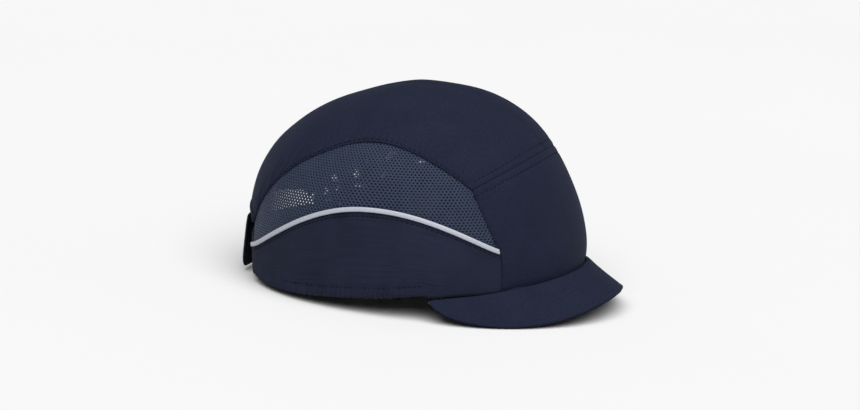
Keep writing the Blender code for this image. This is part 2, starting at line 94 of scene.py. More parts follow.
# Peak
PEAK_HALF_ANGLE = math.radians(70)
PEAK_LENGTH, PEAK_SIDE_LENGTH = 0.0292, 0.0226
PEAK_SLOPE, PEAK_SIDE_SLOPE = math.radians(34), math.radians(68)
PEAK_TAPER, PEAK_SLOPE_POWER, PEAK_END, PEAK_DROP = 3.66, 6, 0.997, 0.0020

# Closure at the rear, an arc about an upright axis
STRAP_CENTRE, STRAP_RADIUS, STRAP = (-0.002, 0.0275), 0.0794, 0.0015
STRAP_LOW, STRAP_HIGH = -0.0035, 0.0245
TAB_LOW, TAB_HIGH = -0.0045, 0.0305
TAB_CURL_LOW, TAB_CURL_HIGH, TAB_TRIM = 0.0036, 0.0010, 0.0015
TAB_ROOT, TAB_END, FOLD_GAP = math.radians(3.0), math.radians(23.1), math.radians(1.5)
STRAP_TAIL = math.radians(-50)
PATCH, LOOP_STRAP = 0.0007, 0.0013
LOOP_FROM, LOOP_TO = math.radians(-34), math.radians(50)
PILE_INSET, PILE_TO, PATCH_EDGE = math.radians(3), math.radians(33), 0.002
HOOK_INSET, HOOK_END_INSET, FOLD_LAP = math.radians(1.5), math.radians(3.5), math.radians(0.35)
TAG, TAG_HEIGHT, TAG_TURN = 0.0005, 0.014, 0.11  # the blank label

# Narrow textiles
SEAM_TAPE_WIDTH, SEAM_TAPE = 0.012, 0.0004
ELASTIC_FROM, ELASTIC_TO = math.radians(78), math.radians(126)
ELASTIC_RISE, ELASTIC_HEIGHT, ELASTIC_DEPTH, ELASTIC = 0.0015, 0.007, 0.005, 0.0008
CLOTH_RADIUS = 0.095  # turns a panel's angles into lengths of cloth

# Pads
BROW_HALF_ANGLE, BROW_GAP, BROW_TOP = math.radians(35.4), 0.0035, 0.0775
NAPE_HALF_ANGLE, NAPE_LOW, NAPE_TOP = math.radians(21.4), 0.0545, 0.0835
TEMPLE_FROM, TEMPLE_TO = math.radians(52.5), math.radians(93.5)
TEMPLE_GAP, TEMPLE_TOP, TEMPLE_TOP_SHARE = 0.0025, 0.0450, 0.25
CROWN_PAD_SHARE, CROWN_PAD_FLAT = 0.115, 0.1066
DOME_POWER = 1.9  # how the rows of a panel crowd towards the top of the cap

# Vents in the shell
SIDE_VENTS, SIDE_VENT_PITCH = 5, 0.0182
SIDE_VENT_WIDTH, SIDE_VENT_HEIGHT, SIDE_VENT_SHIFT = 0.010, 0.018, -0.010
SIDE_VENT_MIDDLE, SIDE_VENT_FALL = 0.0755, 0.0035
TOP_VENT_LENGTH, TOP_VENT_WIDTH = 0.021, 0.007
TOP_VENTS, TOP_VENT_PITCH, TOP_VENT_START = 4, 0.030, -0.045
TOP_VENT_SIDE, TOP_VENT_RISE, TOP_VENT_LEAN = 0.046, 0.112, math.radians(32)


# ---------------------------------------------------------------- form of the cap


def signed_power(value, power):
    return np.sign(value) * np.abs(value) ** power


def between(low, high, share):
    return low + (high - low) * share


def smooth_step(value, start, end):
    """0 before start, 1 after end, and 3 t squared less 2 t cubed between them."""
    share = np.clip((value - start) / (end - start), 0, 1)
    return share * share * (3 - 2 * share)


def cap_surface(angle, height):
    """A superellipse in plan whose reach shrinks with height: full reach * (1 - level ** a) ** (1 / b)."""
    level = np.clip(height / CROWN_HEIGHT, 0.0, 1.0)
    front, rear, side = (
        reach * (1.0 - level**rise) ** (1.0 / fall)
        for reach, (rise, fall) in (
            (FRONT_REACH, FRONT_PROFILE),
            (REAR_REACH, REAR_PROFILE),
            (HALF_WIDTH, SIDE_PROFILE),
        )
    )
    drawn_in = TUCK * (1 + np.cos(angle)) / 2 * np.clip(1 - height / TUCK_HEIGHT, 0, 1) ** 2
    forward = signed_power(np.cos(angle), 2 / PLAN_POWER)
    across = signed_power(np.sin(angle), 2 / PLAN_POWER)
    reach = np.where(forward > 0, front, rear)
    return np.stack([side * across * (1 - drawn_in), -reach * forward * (1 - drawn_in), height], -1)


def cap_normal(angle, height):
    """The outward normal, from the cross product of a small step round the cap and a small step up it."""
    step = 1e-4
    low = np.minimum(height, CROWN_HEIGHT * (1 - 2 * step))
    round_it = cap_surface(angle + step, low) - cap_surface(angle - step, low)
    up_it = cap_surface(angle, low + step * CROWN_HEIGHT) - cap_surface(angle, low - step * CROWN_HEIGHT)
    normal = np.cross(round_it, up_it)
    normal /= np.linalg.norm(normal, axis=-1, keepdims=True)
    at_pole = (height > 0.9999 * CROWN_HEIGHT)[..., None]
    return np.where(at_pole, np.array([0.0, 0.0, 1.0]), normal)


def drape(points):
    """How far cloth stands proud of the even form: soft waves of the place, as a sum of sines."""
    source = np.random.default_rng(7)
    count = 12
    directions = source.normal(size=(count, 3))
    directions /= np.linalg.norm(directions, axis=1, keepdims=True)
    lengths = source.uniform(0.022, 0.070, count)
    phases = source.uniform(0, 2 * math.pi, count)
    heights = 0.0022 * lengths * source.uniform(0.5, 1.0, count)
    return np.sin(points @ (directions * (2 * math.pi / lengths)[:, None]).T + phases) @ heights


def cloth_point(angle, height, depth):
    """A point of the cloth layer: the even form, moved out by the drape and in by the depth."""
    even = cap_surface(angle, height)
    move = drape(even) - depth
    return even + move[..., None] * cap_normal(angle, height)


def cap_layer(angle, height, depth):
    """A point of a firm layer at this depth below the even form."""
    return cap_surface(angle, height) - np.asarray(depth)[..., None] * cap_normal(angle, height)


def stand(points):
    """Leans the cap's own frame onto the table: turned about X, then moved back and up."""
    points = np.asarray(points, float)
    y, z = points[..., 1], points[..., 2]
    cos, sin = math.cos(LEAN), math.sin(LEAN)
    return np.stack([points[..., 0], y * cos - z * sin + SHIFT_Y, y * sin + z * cos + LIFT], -1)


def hem_height(angle):
    forward = -cap_surface(angle, np.zeros_like(angle))[..., 1] / REAR_REACH
    return -0.0024 + 0.0081 * forward + 0.0043 * forward**2


def hump(angle, front_angle, peak_angle, rear_angle, heights, fullness):
    """A seam that swells from its front height to its top and falls to its rear height, flat at the top."""
    front, top, rear = heights
    ahead = np.clip((peak_angle - angle) / (peak_angle - front_angle), 0, 1)
    behind = np.clip((angle - peak_angle) / (rear_angle - peak_angle), 0, 1)
    fall_ahead = (top - front) * (1 - (1 - ahead**2) ** fullness[0])
    return top - fall_ahead - (top - rear) * (1 - (1 - behind**2) ** fullness[1])


def front_edge(height):
    """The angle of the front panel's side edge: upright at first, then leaning back."""
    rise = np.clip(height, FRONT_EDGE_BEND, FRONT_EDGE_TOP) - FRONT_EDGE_BEND
    return FRONT_EDGE_ANGLE + FRONT_EDGE_LEAN * rise


CORNER = float(front_edge(FRONT_EDGE_TOP))


def piping_height(angle):
    """The piping's seam, which keeps falling to its rear end."""
    start = front_edge(PIPING_FRONT)
    behind = np.clip((angle - PIPING_FALL_ANGLE) / (REAR_EDGE_ANGLE - PIPING_FALL_ANGLE), 0, 1)
    fall = PIPING_FALL * behind**2
    return hump(angle, start, PIPING_PEAK_ANGLE, REAR_EDGE_ANGLE, PIPING_HEIGHTS, PIPING_FULLNESS) - fall


def mesh_top_height(angle):
    return hump(angle, CORNER, MESH_PEAK_ANGLE, REAR_EDGE_ANGLE, MESH_HEIGHTS, MESH_FULLNESS)


def front_seam_height(angle):
    return FRONT_EDGE_TOP + FRONT_SEAM_RISE * (1 - np.abs(angle / CORNER) ** 2)


def arch_height(angle):
    share = np.clip((math.pi - angle) / (math.pi - REAR_EDGE_ANGLE), 0, 1)
    return MESH_REAR + ARCH_RISE * (1 - share**3) ** (1 / 2)


def crown_low_height(angle):
    rear = np.where(angle < REAR_EDGE_ANGLE, mesh_top_height(angle), arch_height(angle))
    return np.where(angle < CORNER, front_seam_height(angle), rear)


def shell_low_height(angle):
    """The shell's edge: low over the brow, high behind the ears, with a tongue at the back of the head."""
    stops = [0, 45, 70, 95, 112, 150, 163, 180]
    heights = [0.023, 0.022, 0.036, 0.052, 0.060, 0.060, 0.050, 0.048]
    turn = np.degrees(np.abs(angle))
    return sum(np.interp(turn + shift, stops, heights) for shift in (-6, -3, 0, 3, 6)) / 5


# ---------------------------------------------------------------- mesh making


def grid_faces(rows, columns, closed=False):
    """The four corners of every cell of a grid, whose last column may join its first."""
    index = np.arange(rows * columns).reshape(rows, columns)
    if closed:
        index = np.hstack([index, index[:, :1]])
    return np.stack([index[:-1, :-1], index[:-1, 1:], index[1:, 1:], index[1:, :-1]], -1).reshape(-1, 4)


def runs(points, axis):
    """How far each point of a grid lies from the start and from the end of its own grid line."""
    steps = np.linalg.norm(np.diff(points, axis=axis), axis=-1)
    start = np.zeros_like(np.take(steps, [0], axis=axis))
    run = np.concatenate([start, np.cumsum(steps, axis=axis)], axis=axis)
    return run, np.take(run, [-1], axis=axis) - run


def stops(length, step, fine_start=True, fine_end=True):
    """Shares of a length, close together at its ends where cloth turns into a seam."""
    edge = np.array([0, 0.0003, 0.0007, 0.0012, 0.0018, 0.0025, 0.0033])
    first = edge[-1] if fine_start else 0.0
    last = length - edge[-1] if fine_end else length
    middle = np.linspace(first, last, max(2, round((last - first) / step)))
    pieces = [edge[:-1]] if fine_start else []
    pieces.append(middle)
    if fine_end:
        pieces.append(length - edge[:-1][::-1])
    return np.concatenate(pieces) / length


def groove(distance, depth, width):
    """A dip at a seam that dies away as a bell curve of the distance."""
    return depth * np.exp(-((distance / width) ** 2))


def pucker(along, distance, pitch, depth, reach):
    """Small gathers beside a seam: a cosine along it that wanders in pitch, dying away with distance."""
    wander = 1.3 * np.sin(along * 61) + 0.9 * np.sin(along * 147 + 1.7)
    swell = 0.75 + 0.25 * np.sin(along * 233 + 0.6)
    wave = 0.5 + 0.5 * np.cos(2 * math.pi * along / pitch + wander)
    return depth * swell * wave * groove(distance, 1, reach)


def new_mesh(name, points, faces, uv=None):
    mesh = bpy.data.meshes.new(name)
    faces = [np.asarray(group).tolist() for group in faces]
    mesh.from_pydata(stand(points).reshape(-1, 3).tolist(), [], sum(faces, []))
    mesh.update()
    if uv is not None:
        corners = np.empty(len(mesh.loops), np.int32)
        mesh.loops.foreach_get("vertex_index", corners)
        layer = mesh.uv_layers.new(name="cloth")
        layer.data.foreach_set("uv", np.asarray(uv, float).reshape(-1, 2)[corners].ravel())
    return mesh


def cleaned(mesh, inside=None, merge=2e-6):
    """Merges doubles and points the faces outwards. An open sheet is turned away from the inside point."""
    bm = bmesh.new()
    bm.from_mesh(mesh)
    bmesh.ops.remove_doubles(bm, verts=bm.verts, dist=merge)
    slivers = [face for face in bm.faces if face.calc_area() < 1e-12]
    bmesh.ops.delete(bm, geom=slivers, context="FACES_ONLY")
    bmesh.ops.recalc_face_normals(bm, faces=bm.faces)
    bm.to_mesh(mesh)
    bm.free()
    if inside is not None:
        centres = np.empty(len(mesh.polygons) * 3)
        normals = np.empty_like(centres)
        mesh.polygons.foreach_get("center", centres)
        mesh.polygons.foreach_get("normal", normals)
        outward = (centres.reshape(-1, 3) - stand(inside)) * normals.reshape(-1, 3)
        if outward.sum() < 0:
            mesh.flip_normals()
    return mesh


def place(name, mesh, finish, body="root", replaced=()):
    """Puts a finished mesh on its body, with its finish and the CAD nodes that it stands for."""
    mesh.shade_smooth()
    mesh.materials.append(finished(finish))
    obj = bpy.data.objects.new(name, mesh)
    bpy.context.scene.collection.objects.link(obj)
    if body:
        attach(obj, body)
    if replaced:
        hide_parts(*replaced)
    return obj


def add_wall(obj, wall):
    solid = obj.modifiers.new("wall", "SOLIDIFY")
    solid.thickness = wall
    solid.offset = -1
    solid.use_even_offset = True
    return obj


def sheet_area(mesh):
    areas = np.empty(len(mesh.polygons))
    mesh.polygons.foreach_get("area", areas)
    return float(areas.sum())


def cloth_piece(name, points, uv, wall, finish, body, replaced, inside=(0, 0, 0.03)):
    """A grid of cloth with a wall inwards."""
    rows, columns = points.shape[:2]
    mesh = cleaned(new_mesh(name, points, [grid_faces(rows, columns)], uv), inside)
    area = sheet_area(mesh)
    obj = add_wall(place(name, mesh, finish, body, replaced), wall)
    return obj


def flat_uv(angle, points):
    """Cloth coordinates in metres: the turn times a mean radius, and the run up the panel."""
    up = runs(points, 0)[0]
    middle = up[:, up.shape[1] // 2]
    return np.stack([angle * CLOTH_RADIUS, np.broadcast_to(middle[:, None], angle.shape)], -1)


def line_frames(points, normals):
    """Tangent, normal and side direction at each point of a line on the cap."""
    tangent = np.gradient(points, axis=0)
    tangent /= np.linalg.norm(tangent, axis=-1, keepdims=True)
    side = np.cross(normals, tangent)
    side /= np.linalg.norm(side, axis=-1, keepdims=True)
    return tangent, np.cross(tangent, side), side


def tube_mesh(name, rings):
    """A closed tube through rings of points, with a flat face at each end."""
    count, around = rings.shape[:2]
    step = np.linalg.norm(np.diff(rings.mean(1), axis=0), axis=-1)
    run = np.concatenate([[0], np.cumsum(step)])
    turn = np.linspace(0, 1, around, endpoint=False)
    girth = np.linalg.norm(np.diff(rings[0], axis=0, append=rings[0][:1]), axis=-1).sum()
    uv = np.stack(np.broadcast_arrays(run[:, None], turn[None] * girth), -1)
    ends = [list(range(around))[::-1], list(range((count - 1) * around, count * around))]
    faces = [grid_faces(count, around, closed=True), ends]
    return cleaned(new_mesh(name, rings, faces, uv))


# ---------------------------------------------------------------- finishes


class Recipe:
    """Builds one procedural material: a shader, and short calls for the nodes that feed it."""

    def __init__(self, name, colour, roughness, **sockets):
        self.material = bpy.data.materials.new("finish_" + name)
        self.material.use_nodes = True
        self.tree = self.material.node_tree
        self.shader = self.tree.nodes["Principled BSDF"]
        self.shader.inputs["Base Color"].default_value = (*colour, 1)
        self.shader.inputs["Roughness"].default_value = roughness
        for socket, value in sockets.items():
            self.shader.inputs[socket.replace("_", " ").title().replace("Ior", "IOR")].default_value = value
        self.material.diffuse_color = (*colour, 1)
        self.colour = colour

    def node(self, kind, **values):
        made = self.tree.nodes.new("ShaderNode" + kind)
        for key, value in values.items():
            setattr(made, key, value)
        return made

    def link(self, source, target):
        if isinstance(source, (int, float)):
            target.default_value = source
        else:
            self.tree.links.new(source, target)

    def math(self, operation, first, second=0.0):
        made = self.node("Math", operation=operation)
        self.link(first, made.inputs[0])
        self.link(second, made.inputs[1])
        return made.outputs[0]

    def place(self, space="UV", scale=(1, 1, 1)):
        coordinates = self.node("TexCoord")
        mapping = self.node("Mapping")
        mapping.inputs["Scale"].default_value = scale
        self.link(coordinates.outputs[space], mapping.inputs["Vector"])
        return mapping.outputs[0]

    def noise(self, size, detail=2.0, space="Object", stretch=(1, 1, 1)):
        made = self.node("TexNoise")
        made.inputs["Scale"].default_value = 1.0
        made.inputs["Detail"].default_value = detail
        scale = tuple(share / size for share in stretch)
        self.link(self.place(space, scale), made.inputs["Vector"])
        return made.outputs["Factor"] if "Factor" in made.outputs else made.outputs[0]

    def ribs(self, pitch, axis="X"):
        """A sine along one cloth direction with this pitch in metres."""
        parts = self.node("SeparateXYZ")
        self.link(self.place("UV", (1 / pitch,) * 3), parts.inputs[0])
        return self.math("SINE", self.math("MULTIPLY", parts.outputs[axis], 2 * math.pi))

    def mottle(self, sources, low=0.85, high=1.15):
        """Lightens and darkens the colour by the average of these 0-to-1 patterns."""
        total = sources[0]
        for source in sources[1:]:
            total = self.math("ADD", total, source)
        share = self.math("DIVIDE", total, len(sources))
        ramp = self.node("ValToRGB")
        ramp.color_ramp.elements[0].position, ramp.color_ramp.elements[1].position = 0.3, 0.7
        for element, factor in zip(ramp.color_ramp.elements, (low, high)):
            element.color = (*(min(1.0, channel * factor) for channel in self.colour), 1)
        self.link(share, ramp.inputs[0])
        self.link(ramp.outputs[0], self.shader.inputs["Base Color"])

    def bumps(self, *layers):
        """Stacks bumps: each is a height pattern, its depth in metres and its strength."""
        normal = None
        for pattern, depth, strength in layers:
            bump = self.node("Bump")
            bump.inputs["Distance"].default_value = depth
            bump.inputs["Strength"].default_value = strength
            self.link(pattern, bump.inputs["Height"])
            if normal is not None:
                self.link(normal, bump.inputs["Normal"])
            normal = bump.outputs[0]
        self.link(normal, self.shader.inputs["Normal"])


def cloth_finish(name, colour, pitch, roughness=0.8, sheen=0.08, streak=0.0, bite=0.5):
    """Plain weave: the product of warp and weft sines, with slubs, soft mottling and a napped sheen."""
    recipe = Recipe(name, colour, roughness, sheen_weight=sheen, sheen_roughness=0.45, specular_ior_level=0.1)
    recipe.shader.inputs["Sheen Tint"].default_value = (0.5, 0.6, 0.9, 1)
    warp, weft = recipe.ribs(pitch, "X"), recipe.ribs(pitch, "Y")
    weave = recipe.math("MULTIPLY", warp, weft)
    slub = recipe.noise(0.004, 2.0, "UV", (0.12, 6.0, 1)) if streak else recipe.noise(0.0016, 3.0, "UV")
    cloudy = recipe.noise(0.018, 4.0)
    lift = recipe.math("ADD", recipe.math("MULTIPLY", weave, 0.3), 0.5)
    recipe.mottle([lift, slub, slub, cloudy], 0.64 - streak, 1.36 + streak)
    recipe.bumps((slub, 0.0002, 0.35), (weave, pitch * 0.12, bite))
    return recipe.material


def mesh_finish(name, colour):
    recipe = Recipe(name, colour, 0.5, sheen_weight=0.1, sheen_roughness=0.3, specular_ior_level=0.2)
    recipe.shader.inputs["Sheen Tint"].default_value = (0.6, 0.68, 0.9, 1)
    wales, courses = recipe.ribs(0.0006, "X"), recipe.ribs(0.00042, "Y")
    loops = recipe.math("ADD", wales, recipe.math("MULTIPLY", courses, 0.6))
    fleck = recipe.noise(0.0009, 3.0, "UV")
    recipe.mottle([fleck, recipe.noise(0.012, 2.0)], 0.78, 1.22)
    recipe.bumps((fleck, 0.0002, 0.3), (loops, 0.00007, 0.6))
    return recipe.material


def reflective_finish(name, colour):
    """Glass-bead tape: a fine cell pattern under a satin face."""
    recipe = Recipe(name, colour, 0.42, specular_ior_level=0.5)
    beads = recipe.node("TexVoronoi")
    beads.inputs["Scale"].default_value = 1.0
    recipe.link(recipe.place("Object", (1 / 0.00035,) * 3), beads.inputs["Vector"])
    recipe.mottle([recipe.noise(0.006, 2.0), beads.outputs["Distance"]], 0.93, 1.05)
    recipe.bumps((beads.outputs["Distance"], 0.00004, 0.4))
    return recipe.material


def ribbed_finish(name, colour, pitch, roughness=0.8, slant=0.35):
    """Webbing, tape and elastic: ribs across the band, with a finer twill over them."""
    recipe = Recipe(name, colour, roughness, sheen_weight=0.04, sheen_roughness=0.4, specular_ior_level=0.1)
    recipe.shader.inputs["Sheen Tint"].default_value = (0.5, 0.6, 0.9, 1)
    ribs, fine = recipe.ribs(pitch, "X"), recipe.ribs(pitch * 0.55, "Y")
    twill = recipe.math("ADD", ribs, recipe.math("MULTIPLY", fine, slant))
    cloudy = recipe.noise(0.005, 2.0)
    lift = recipe.math("ADD", recipe.math("MULTIPLY", twill, 0.2), 0.5)
    recipe.mottle([cloudy, lift], 0.75, 1.25)
    recipe.bumps((recipe.noise(0.0012, 2.0), 0.0001, 0.3), (twill, pitch * 0.16, 0.7))
    return recipe.material


def napped_finish(name, colour, size, depth, roughness=0.95, sheen=0.06):
    """Terry, loop pile, foam and thread: closed cells of one size, broken up by a finer noise."""
    recipe = Recipe(name, colour, roughness, sheen_weight=sheen, sheen_roughness=0.5, specular_ior_level=0.08)
    recipe.shader.inputs["Sheen Tint"].default_value = (0.6, 0.65, 0.9, 1)
    cells = recipe.node("TexVoronoi")
    cells.inputs["Scale"].default_value = 1.0
    recipe.link(recipe.place("Object", (1 / size,) * 3), cells.inputs["Vector"])
    fuzz = recipe.noise(size * 0.6, 3.0)
    recipe.mottle([cells.outputs["Distance"], recipe.noise(0.010, 2.0)], 0.7, 1.4)
    recipe.bumps((fuzz, depth * 0.5, 0.4), (cells.outputs["Distance"], depth, 0.7))
    return recipe.material


def moulded_finish(name, colour, roughness, grain):
    """Injection-moulded plastic: a spark-eroded grain, with patches rubbed a little smoother."""
    recipe = Recipe(name, colour, roughness, specular_ior_level=0.35)
    patchy = recipe.noise(0.014, 3.0)
    recipe.link(recipe.math("ADD", recipe.math("MULTIPLY", patchy, 0.2), roughness - 0.1),
                recipe.shader.inputs["Roughness"])
    recipe.mottle([patchy, recipe.noise(0.002, 2.0)], 0.85, 1.2)
    recipe.bumps((recipe.noise(grain, 3.0), 0.00006, 0.35))
    return recipe.material


def finished(slot):
    """The material of one slot of the record, made the first time that it is asked for."""
    name = "finish_" + slot
    if name in bpy.data.materials:
        return bpy.data.materials[name]
    cloth, trim = bpy.context.scene.cap_cloth, bpy.context.scene.cap_trim
    makers = {
        "navy_fabric": lambda: cloth_finish(slot, cloth.crown_colour, cloth.weave_pitch, sheen=cloth.sheen),
        "navy_side_fabric": lambda: cloth_finish(
            slot, cloth.side_colour, cloth.weave_pitch * 1.15, 0.86, cloth.sheen * 0.8, streak=0.06
        ),
        "navy_mesh": lambda: mesh_finish(slot, cloth.mesh_colour),
        "reflective_piping": lambda: reflective_finish(slot, trim.piping_colour),
        "seam_tape": lambda: ribbed_finish(slot, trim.tape_colour, 0.0009),
        "black_elastic": lambda: ribbed_finish(slot, trim.black_colour, 0.0013, 0.75),
        "peak_board_plastic": lambda: moulded_finish(slot, trim.board_colour, 0.5, 0.0008),
        "black_towelling": lambda: napped_finish(slot, trim.black_colour, 0.0011, 0.0005),
        "black_shell": lambda: moulded_finish(slot, trim.shell_colour, 0.38, 0.0006),
        "black_foam": lambda: napped_finish(slot, trim.foam_colour, 0.0007, 0.00015, 0.9, 0.04),
        "navy_webbing": lambda: ribbed_finish(slot, trim.webbing_colour, 0.0012, 0.7),
        "hook_and_loop": lambda: napped_finish(slot, trim.black_colour, 0.0009, 0.0005),
        "blank_label": lambda: cloth_finish(slot, trim.label_colour, 0.0004, 0.6, 0.1),
        "navy_thread": lambda: napped_finish(slot, trim.thread_colour, 0.0004, 0.0001, 0.8, 0.0),
    }
    return makers[slot]()


# ---------------------------------------------------------------- cloth panels


SEAM_DIP = 0.0007
DIP_WIDTH = 0.0011
SHARED_DIP = 0.45  # share of the dip at a seam whose two sides both show
FOLD_TURN, FOLD_HEIGHT, FOLD_LEAN = 30, 0.036, 0.52  # where the soft fold of the front panel runs
FOLD_DEPTH, FOLD_WIDTH = 0.0009, 0.0085
GATHER_PITCH = 0.0036  # from gather to gather along the stretch hem


def front_panel_grid():
    """Across between the two side edges, and up from the hem to the seam over the brow."""
    across = 2 * stops(0.166, 0.0008) - 1
    rise = stops(0.078, 0.0011)
    u, v = np.meshgrid(across, rise)
    low = hem_height(u * FRONT_EDGE_ANGLE) - HEM_OVERLAP
    high = front_seam_height(u * CORNER) - SEAM_GAP / 2
    start = float(hem_height(np.array(FRONT_EDGE_ANGLE)))
    turn = u * (front_edge(between(start, FRONT_EDGE_TOP, v)) - SEAM_GAP / FRONT_REACH)
    return turn, between(low, high, v)


def make_front_panel(cloth):
    turn, height = front_panel_grid()
    even = cap_surface(turn, height)
    up, down = runs(even, 0)
    left, right = runs(even, 1)
    edge = np.minimum(left, right)
    depth = groove(edge, SEAM_DIP, DIP_WIDTH) + groove(down, SEAM_DIP * SHARED_DIP, DIP_WIDTH)
    depth += groove(up, 0.0006, 0.0030)
    depth += groove(down - cloth.topstitch, cloth.stitch_sink, 0.0006)
    depth += pucker(left, down, 0.0036, cloth.pucker * 0.5, 0.006)
    depth += pucker(up, edge, 0.0052, cloth.pucker * 0.6, 0.006) * smooth_step(up, 0.001, 0.010)
    for side in (-1, 1):
        across = np.degrees(turn) * side
        fold = (across - FOLD_TURN) * 0.0017 + (height - FOLD_HEIGHT) * FOLD_LEAN
        ends = smooth_step(across, 6, 24) * smooth_step(-height, -0.066, -0.045)
        depth += groove(fold, FOLD_DEPTH, FOLD_WIDTH) * ends
    cloth_piece("front_panel_cloth", cloth_point(turn, height, depth), flat_uv(turn, even), FABRIC,
                "navy_fabric", "root", ["front_panel"])


def make_crown_panels(cloth):
    """Each half: meridians from its seams to the top, gathered at the seams and dipped along the middle."""
    degrees = np.concatenate([
        [0, 0.15, 0.35, 0.6, 0.9],
        np.linspace(1.3, math.degrees(CORNER), 105),
        np.linspace(math.degrees(CORNER), 147, 190)[1:],
        np.linspace(147, 178.7, 66)[1:],
        [179.1, 179.4, 179.65, 179.85, 180],
    ])
    v, turn = np.meshgrid(stops(0.105, 0.00155, fine_end=False), np.radians(degrees), indexing="ij")
    low = crown_low_height(turn) + SEAM_GAP / 2
    height = np.minimum(CROWN_HEIGHT * (1 - (1 - low / CROWN_HEIGHT) * (1 - v) ** DOME_POWER), CROWN_HEIGHT)
    for name, side in (("left", 1), ("right", -1)):
        even = cap_surface(side * turn, height)
        up = runs(even, 0)[0]
        along = runs(even, 1)[0][:1]
        middle = np.abs(even[..., 0])
        mesh_part = smooth_step(turn, CORNER - 0.01, CORNER + 0.02)
        arch_part = smooth_step(turn, REAR_EDGE_ANGLE - 0.02, REAR_EDGE_ANGLE + 0.03)
        depth = groove(middle, SEAM_DIP * 0.8, DIP_WIDTH)
        low_dip = between(SEAM_DIP * SHARED_DIP, 0.00035, mesh_part)
        depth += groove(up, low_dip, between(DIP_WIDTH, 0.0005, mesh_part))
        stitched = between(cloth.topstitch, 0.0021, mesh_part)
        depth += groove(up - stitched, cloth.stitch_sink, 0.0006)
        depth += groove(middle - 0.0045, cloth.stitch_sink * 0.6, 0.0006)
        depth -= mesh_part * (1 - arch_part) * groove(up - 0.0011, 0.0003, 0.0008)
        gathers = pucker(along + 0 * up, np.abs(up - 0.004), 0.0041, cloth.pucker * 1.2, 0.0055)
        depth += gathers * between(0.5, 1.0, mesh_part) * between(1.0, 0.5, arch_part)
        pleats = pucker(along * 1.7 + 0 * up, np.abs(up - 0.009), 0.0127, cloth.pucker * 1.6, 0.012)
        depth += pleats * smooth_step(turn, 1.55, 1.95) * (1 - arch_part)
        points = cloth_point(side * turn, height, depth)
        points[..., 0] = side * np.maximum(side * points[..., 0], SEAM_GAP / 2)
        reach_x = np.interp(np.abs(even[..., 0]), *profile_run(math.pi / 2))
        reach_y = np.where(even[..., 1] < 0, -np.interp(-even[..., 1], *profile_run(0.0)),
                           np.interp(even[..., 1], *profile_run(math.pi)))
        cloth_piece(f"crown_cloth_{name}", points, np.stack([reach_y, reach_x], -1), FABRIC,
                    "navy_fabric", "root", [f"crown_panel_{name}"])


def profile_run(angle):
    """Run along one upright profile from the top of the cap, as a table of reach and length."""
    level = np.linspace(1, 0.2, 200) ** 0.5
    points = cap_surface(np.full_like(level, angle), level * CROWN_HEIGHT)
    run = np.concatenate([[0], np.cumsum(np.linalg.norm(np.diff(points, axis=0), axis=-1))])
    return np.maximum.accumulate(np.hypot(points[:, 0], points[:, 1])), run


def side_grid(low, high, low_start, high_start, trim_low, trim_high, u, v):
    """Between two seams, from the leaning front edge to the upright rear edge."""
    edge = front_edge(between(low_start + trim_low, high_start - trim_high, v)) + SEAM_GAP / HALF_WIDTH
    bottom = low(between(front_edge(low_start), REAR_EDGE_ANGLE, u)) + trim_low
    top = high(between(front_edge(high_start), REAR_EDGE_ANGLE, u)) - trim_high
    return between(edge, REAR_EDGE_ANGLE, u), between(bottom, top, v)


def side_hem_height(angle):
    """The side panel's own lower edge: behind the peak's root in front, rounded up at the rear corner."""
    free = smooth_step(angle, math.radians(68), math.radians(73))
    overlap = between(HEM_OVERLAP, HEM_SIDE_OVERLAP, smooth_step(angle, math.radians(46), math.radians(63)))
    rise = np.clip((angle - HEM_CORNER_ANGLE) / (REAR_EDGE_ANGLE - HEM_CORNER_ANGLE), 0, 1) ** 2.2
    return hem_height(angle) + between(-overlap, HEM_RAISE, free) + HEM_CORNER_RISE * rise


